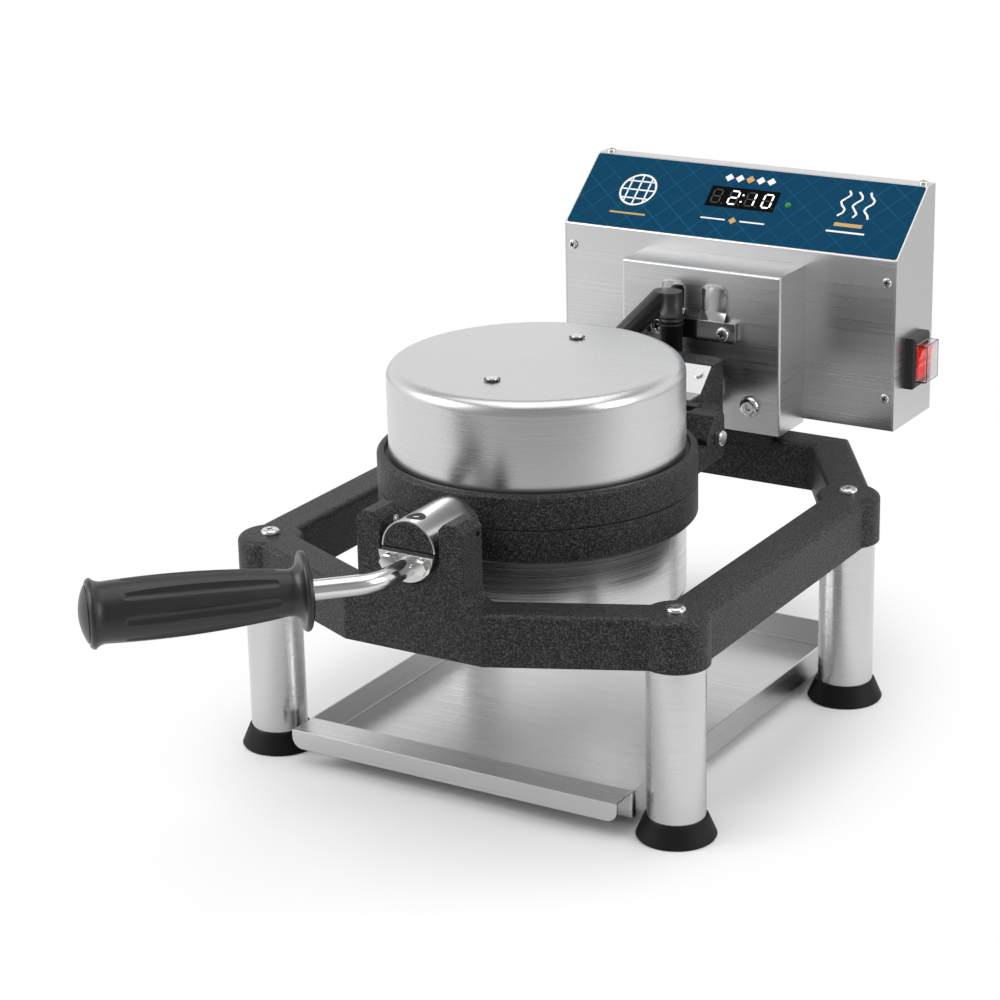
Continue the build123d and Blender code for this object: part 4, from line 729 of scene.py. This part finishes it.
slant = math.radians(0.5)
figure_high = 12.1
figure_wide = 6.7
figure_pitch = 13.8
figures_x, figures_s = -1.9, 39.2
bar_gap = 0.9
lit_thick, unlit_thick = 1.35, 0.9
colon_rise, dot_wide = 3.1, 1.4
point_right, point_low, point_wide = 5.9, 6.2, 1
segment_film = 0.03
# The lit bars of each figure, and where each bar lies: across, rise, and whether it stands upright
shown = ["", "abged", "bc", "abcdef"]
layout = {"a": (0, 1, 0), "g": (0, 0, 0), "d": (0, -1, 0), "f": (-1, 0.5, 1), "b": (1, 0.5, 1),
          "e": (-1, -0.5, 1), "c": (1, -0.5, 1)}
lit, unlit = [], []
middles = [figures_x + (place - 1.5) * figure_pitch for place in range(len(shown))]
for middle, figure in zip(middles, shown):
    for name, (across, rise, is_upright) in layout.items():
        s = rise * figure_high / 2
        x = middle + across * figure_wide / 2 + s * math.tan(slant)
        long = (figure_high / 2 if is_upright else figure_wide) - bar_gap
        thick = lit_thick if name in figure else unlit_thick
        bar = segment(x, figures_s + s, long, math.pi / 2 - slant if is_upright else 0, thick)
        (lit if name in figure else unlit).append(bar)
for rise in (-colon_rise, colon_rise):
    x = figures_x + rise * math.tan(slant)
    lit.append(ink_bar(x, figures_s + rise, dot_wide, dot_wide, 0, window_face))
for middle in middles:
    unlit.append(ink_bar(middle + point_right, figures_s - point_low, point_wide, point_wide, 0,
                         window_face))
print_ink(lit, "lit_figures", lit_segment, segment_film)
print_ink(unlit, "unlit_figures", dark_segment, segment_film)

# Studio: pale floor and soft lamps. To the camera and in metal the floor turns plain white away
# from the machine; round the feet it keeps the machine's shadow.
lens_side = (0.52, -0.85, 0)
start_fresh()
bpy.ops.mesh.primitive_plane_add(size=40, location=(0, 0, 0))
floor = bpy.context.object
floor.name = "floor"
floor_finish, floor_tree, floor_shader, floor_place = new_finish("studio_floor", "#E6E6E6", Roughness=0.9,
                                                                 Specular_IOR_Level=0)
rays = add_node(floor_tree, "ShaderNodeLightPath")
floor_colour = add_node(floor_tree, "ShaderNodeMix",
                        {"data_type": "RGBA", 6: paint("#E2E2E2"), 7: paint("#FFFFFF")},
                        {0: rays.outputs["Is Camera Ray"]})
floor_tree.links.new(floor_colour.outputs[2], floor_shader.inputs["Base Color"])
off_middle = add_node(floor_tree, "ShaderNodeMapping", {"Scale": (1.25, 0.8, 0)}, {"Vector": floor_place})
away = add_node(floor_tree, "ShaderNodeVectorMath", {"operation": "LENGTH"}, {0: off_middle.outputs[0]})
clear = add_node(floor_tree, "ShaderNodeMapRange",
                 {"interpolation_type": "SMOOTHSTEP", "From Min": 0.19, "From Max": 0.34},
                 {"Value": away.outputs["Value"]})
through = add_node(floor_tree, "ShaderNodeMath", {"operation": "MAXIMUM"},
                   {0: rays.outputs["Is Glossy Ray"], 1: rays.outputs["Is Transmission Ray"]})
any_view = add_node(floor_tree, "ShaderNodeMath", {"operation": "MAXIMUM"},
                    {0: through.outputs[0], 1: rays.outputs["Is Camera Ray"]})
shown_white = add_node(floor_tree, "ShaderNodeMath", {"operation": "MULTIPLY"},
                       {0: clear.outputs[0], 1: any_view.outputs[0]})
# In metal the white ends in front of the machine and far behind it, and the darker studio shows
# beyond it
ahead = add_node(floor_tree, "ShaderNodeVectorMath", {"operation": "DOT_PRODUCT", 1: lens_side},
                 {0: floor_place})
paper = add_node(floor_tree, "ShaderNodeMapRange",
                 {"interpolation_type": "SMOOTHSTEP", "From Min": 0.35, "From Max": 0.85,
                  "To Min": 1.0, "To Max": 0.4}, {"Value": ahead.outputs["Value"]})
floor_axes = add_node(floor_tree, "ShaderNodeSeparateXYZ", links={0: floor_place})
beyond = add_node(floor_tree, "ShaderNodeMapRange",
                  {"interpolation_type": "SMOOTHSTEP", "From Min": 0.62, "From Max": 0.92,
                   "To Min": 1.0, "To Max": 0.7}, {"Value": floor_axes.outputs["Y"]})
edges = add_node(floor_tree, "ShaderNodeMath", {"operation": "MULTIPLY"},
                 {0: paper.outputs[0], 1: beyond.outputs[0]})
white = add_node(floor_tree, "ShaderNodeMath", {"operation": "MAXIMUM"},
                 {0: edges.outputs[0], 1: rays.outputs["Is Camera Ray"]})
plain_white = add_node(floor_tree, "ShaderNodeEmission", {"Color": paint("#FFFFFF")},
                       {"Strength": white.outputs[0]})
floor_look = add_node(floor_tree, "ShaderNodeMixShader",
                      links={0: shown_white.outputs[0], 1: floor_shader.outputs[0],
                             2: plain_white.outputs[0]})
floor_tree.links.new(floor_look.outputs[0], floor_tree.nodes["Material Output"].inputs["Surface"])
floor.data.materials.append(floor_finish)


def softbox(name, place, aim, wide, high, power):
    """A soft square lamp at this place, facing the aim."""
    lamp = bpy.data.lights.new(name, "AREA")
    lamp.shape = "RECTANGLE"
    lamp.size = wide
    lamp.size_y = high
    lamp.energy = power
    holder = bpy.data.objects.new(name, lamp)
    holder.location = place
    holder.rotation_euler = (Vector(aim) - Vector(place)).to_track_quat("-Z", "Y").to_euler()
    bpy.context.scene.collection.objects.link(holder)


softbox("left_softbox", (-2.0, -1.5, 1.7), (0, 0, 0.15), 1.5, 1.5, 36)
softbox("right_softbox", (2.3, 0.1, 1.1), (0, 0, 0.2), 0.9, 1.6, 17)
softbox("top_softbox", (0.1, 0.1, 2.6), (0, 0, 0), 2.6, 2.6, 27)

# Room: white where the camera looks. Metal sees the white walls too, with a darker ceiling round
# the top softbox and a darker studio behind the camera.
world = bpy.data.worlds.new("studio")
bpy.context.scene.world = world
world.use_nodes = True
room = world.node_tree
room.nodes.clear()
toward = add_node(room, "ShaderNodeTexCoord").outputs["Generated"]
behind = add_node(room, "ShaderNodeVectorMath", {"operation": "DOT_PRODUCT", 1: lens_side}, {0: toward})
walls = add_node(room, "ShaderNodeMapRange",
                 {"interpolation_type": "SMOOTHSTEP", "From Min": 0.15, "From Max": 0.85,
                  "To Min": 1.0, "To Max": 0.38}, {"Value": behind.outputs["Value"]})
height = add_node(room, "ShaderNodeSeparateXYZ", links={0: toward})
ceiling = add_node(room, "ShaderNodeMapRange",
                   {"interpolation_type": "SMOOTHSTEP", "From Min": 0.48, "From Max": 0.68,
                    "To Min": 1.0, "To Max": 0.5}, {"Value": height.outputs["Z"]})
seen = add_node(room, "ShaderNodeMath", {"operation": "MULTIPLY"},
                {0: walls.outputs[0], 1: ceiling.outputs[0]})
path = add_node(room, "ShaderNodeLightPath")
mirror = add_node(room, "ShaderNodeMath", {"operation": "MAXIMUM"},
                  {0: path.outputs["Is Glossy Ray"], 1: path.outputs["Is Transmission Ray"]})
soft = add_node(room, "ShaderNodeBackground", {"Color": paint("#FFFFFF"), "Strength": 0.45})
glint = add_node(room, "ShaderNodeBackground", {"Color": paint("#FFFFFF")}, {"Strength": seen.outputs[0]})
plain = add_node(room, "ShaderNodeBackground", {"Color": paint("#FFFFFF"), "Strength": 1.0})
with_glint = add_node(room, "ShaderNodeMixShader", links={0: mirror.outputs[0], 1: soft.outputs[0],
                                                          2: glint.outputs[0]})
with_view = add_node(room, "ShaderNodeMixShader", links={0: path.outputs["Is Camera Ray"],
                                                         1: with_glint.outputs[0], 2: plain.outputs[0]})
add_node(room, "ShaderNodeOutputWorld", links={"Surface": with_view.outputs[0]})

# Camera: a long lens from the right front, a little above, turned by a degree about its own axis
lens = bpy.data.cameras.new("camera")
lens.sensor_width = 36
lens.lens = 103.5
camera = bpy.data.objects.new("camera", lens)
yaw, pitch, roll = math.radians(31.5), math.radians(19.13), math.radians(-1.34)
camera.matrix_world = (
    Matrix.Translation((0.92467, -1.56675, 0.79979)) @ Matrix.Rotation(yaw, 4, "Z")
    @ Matrix.Rotation(math.pi / 2 - pitch, 4, "X") @ Matrix.Rotation(roll, 4, "Z")
)
bpy.context.scene.collection.objects.link(camera)
bpy.context.scene.camera = camera
bpy.context.scene.view_settings.view_transform = "Standard"
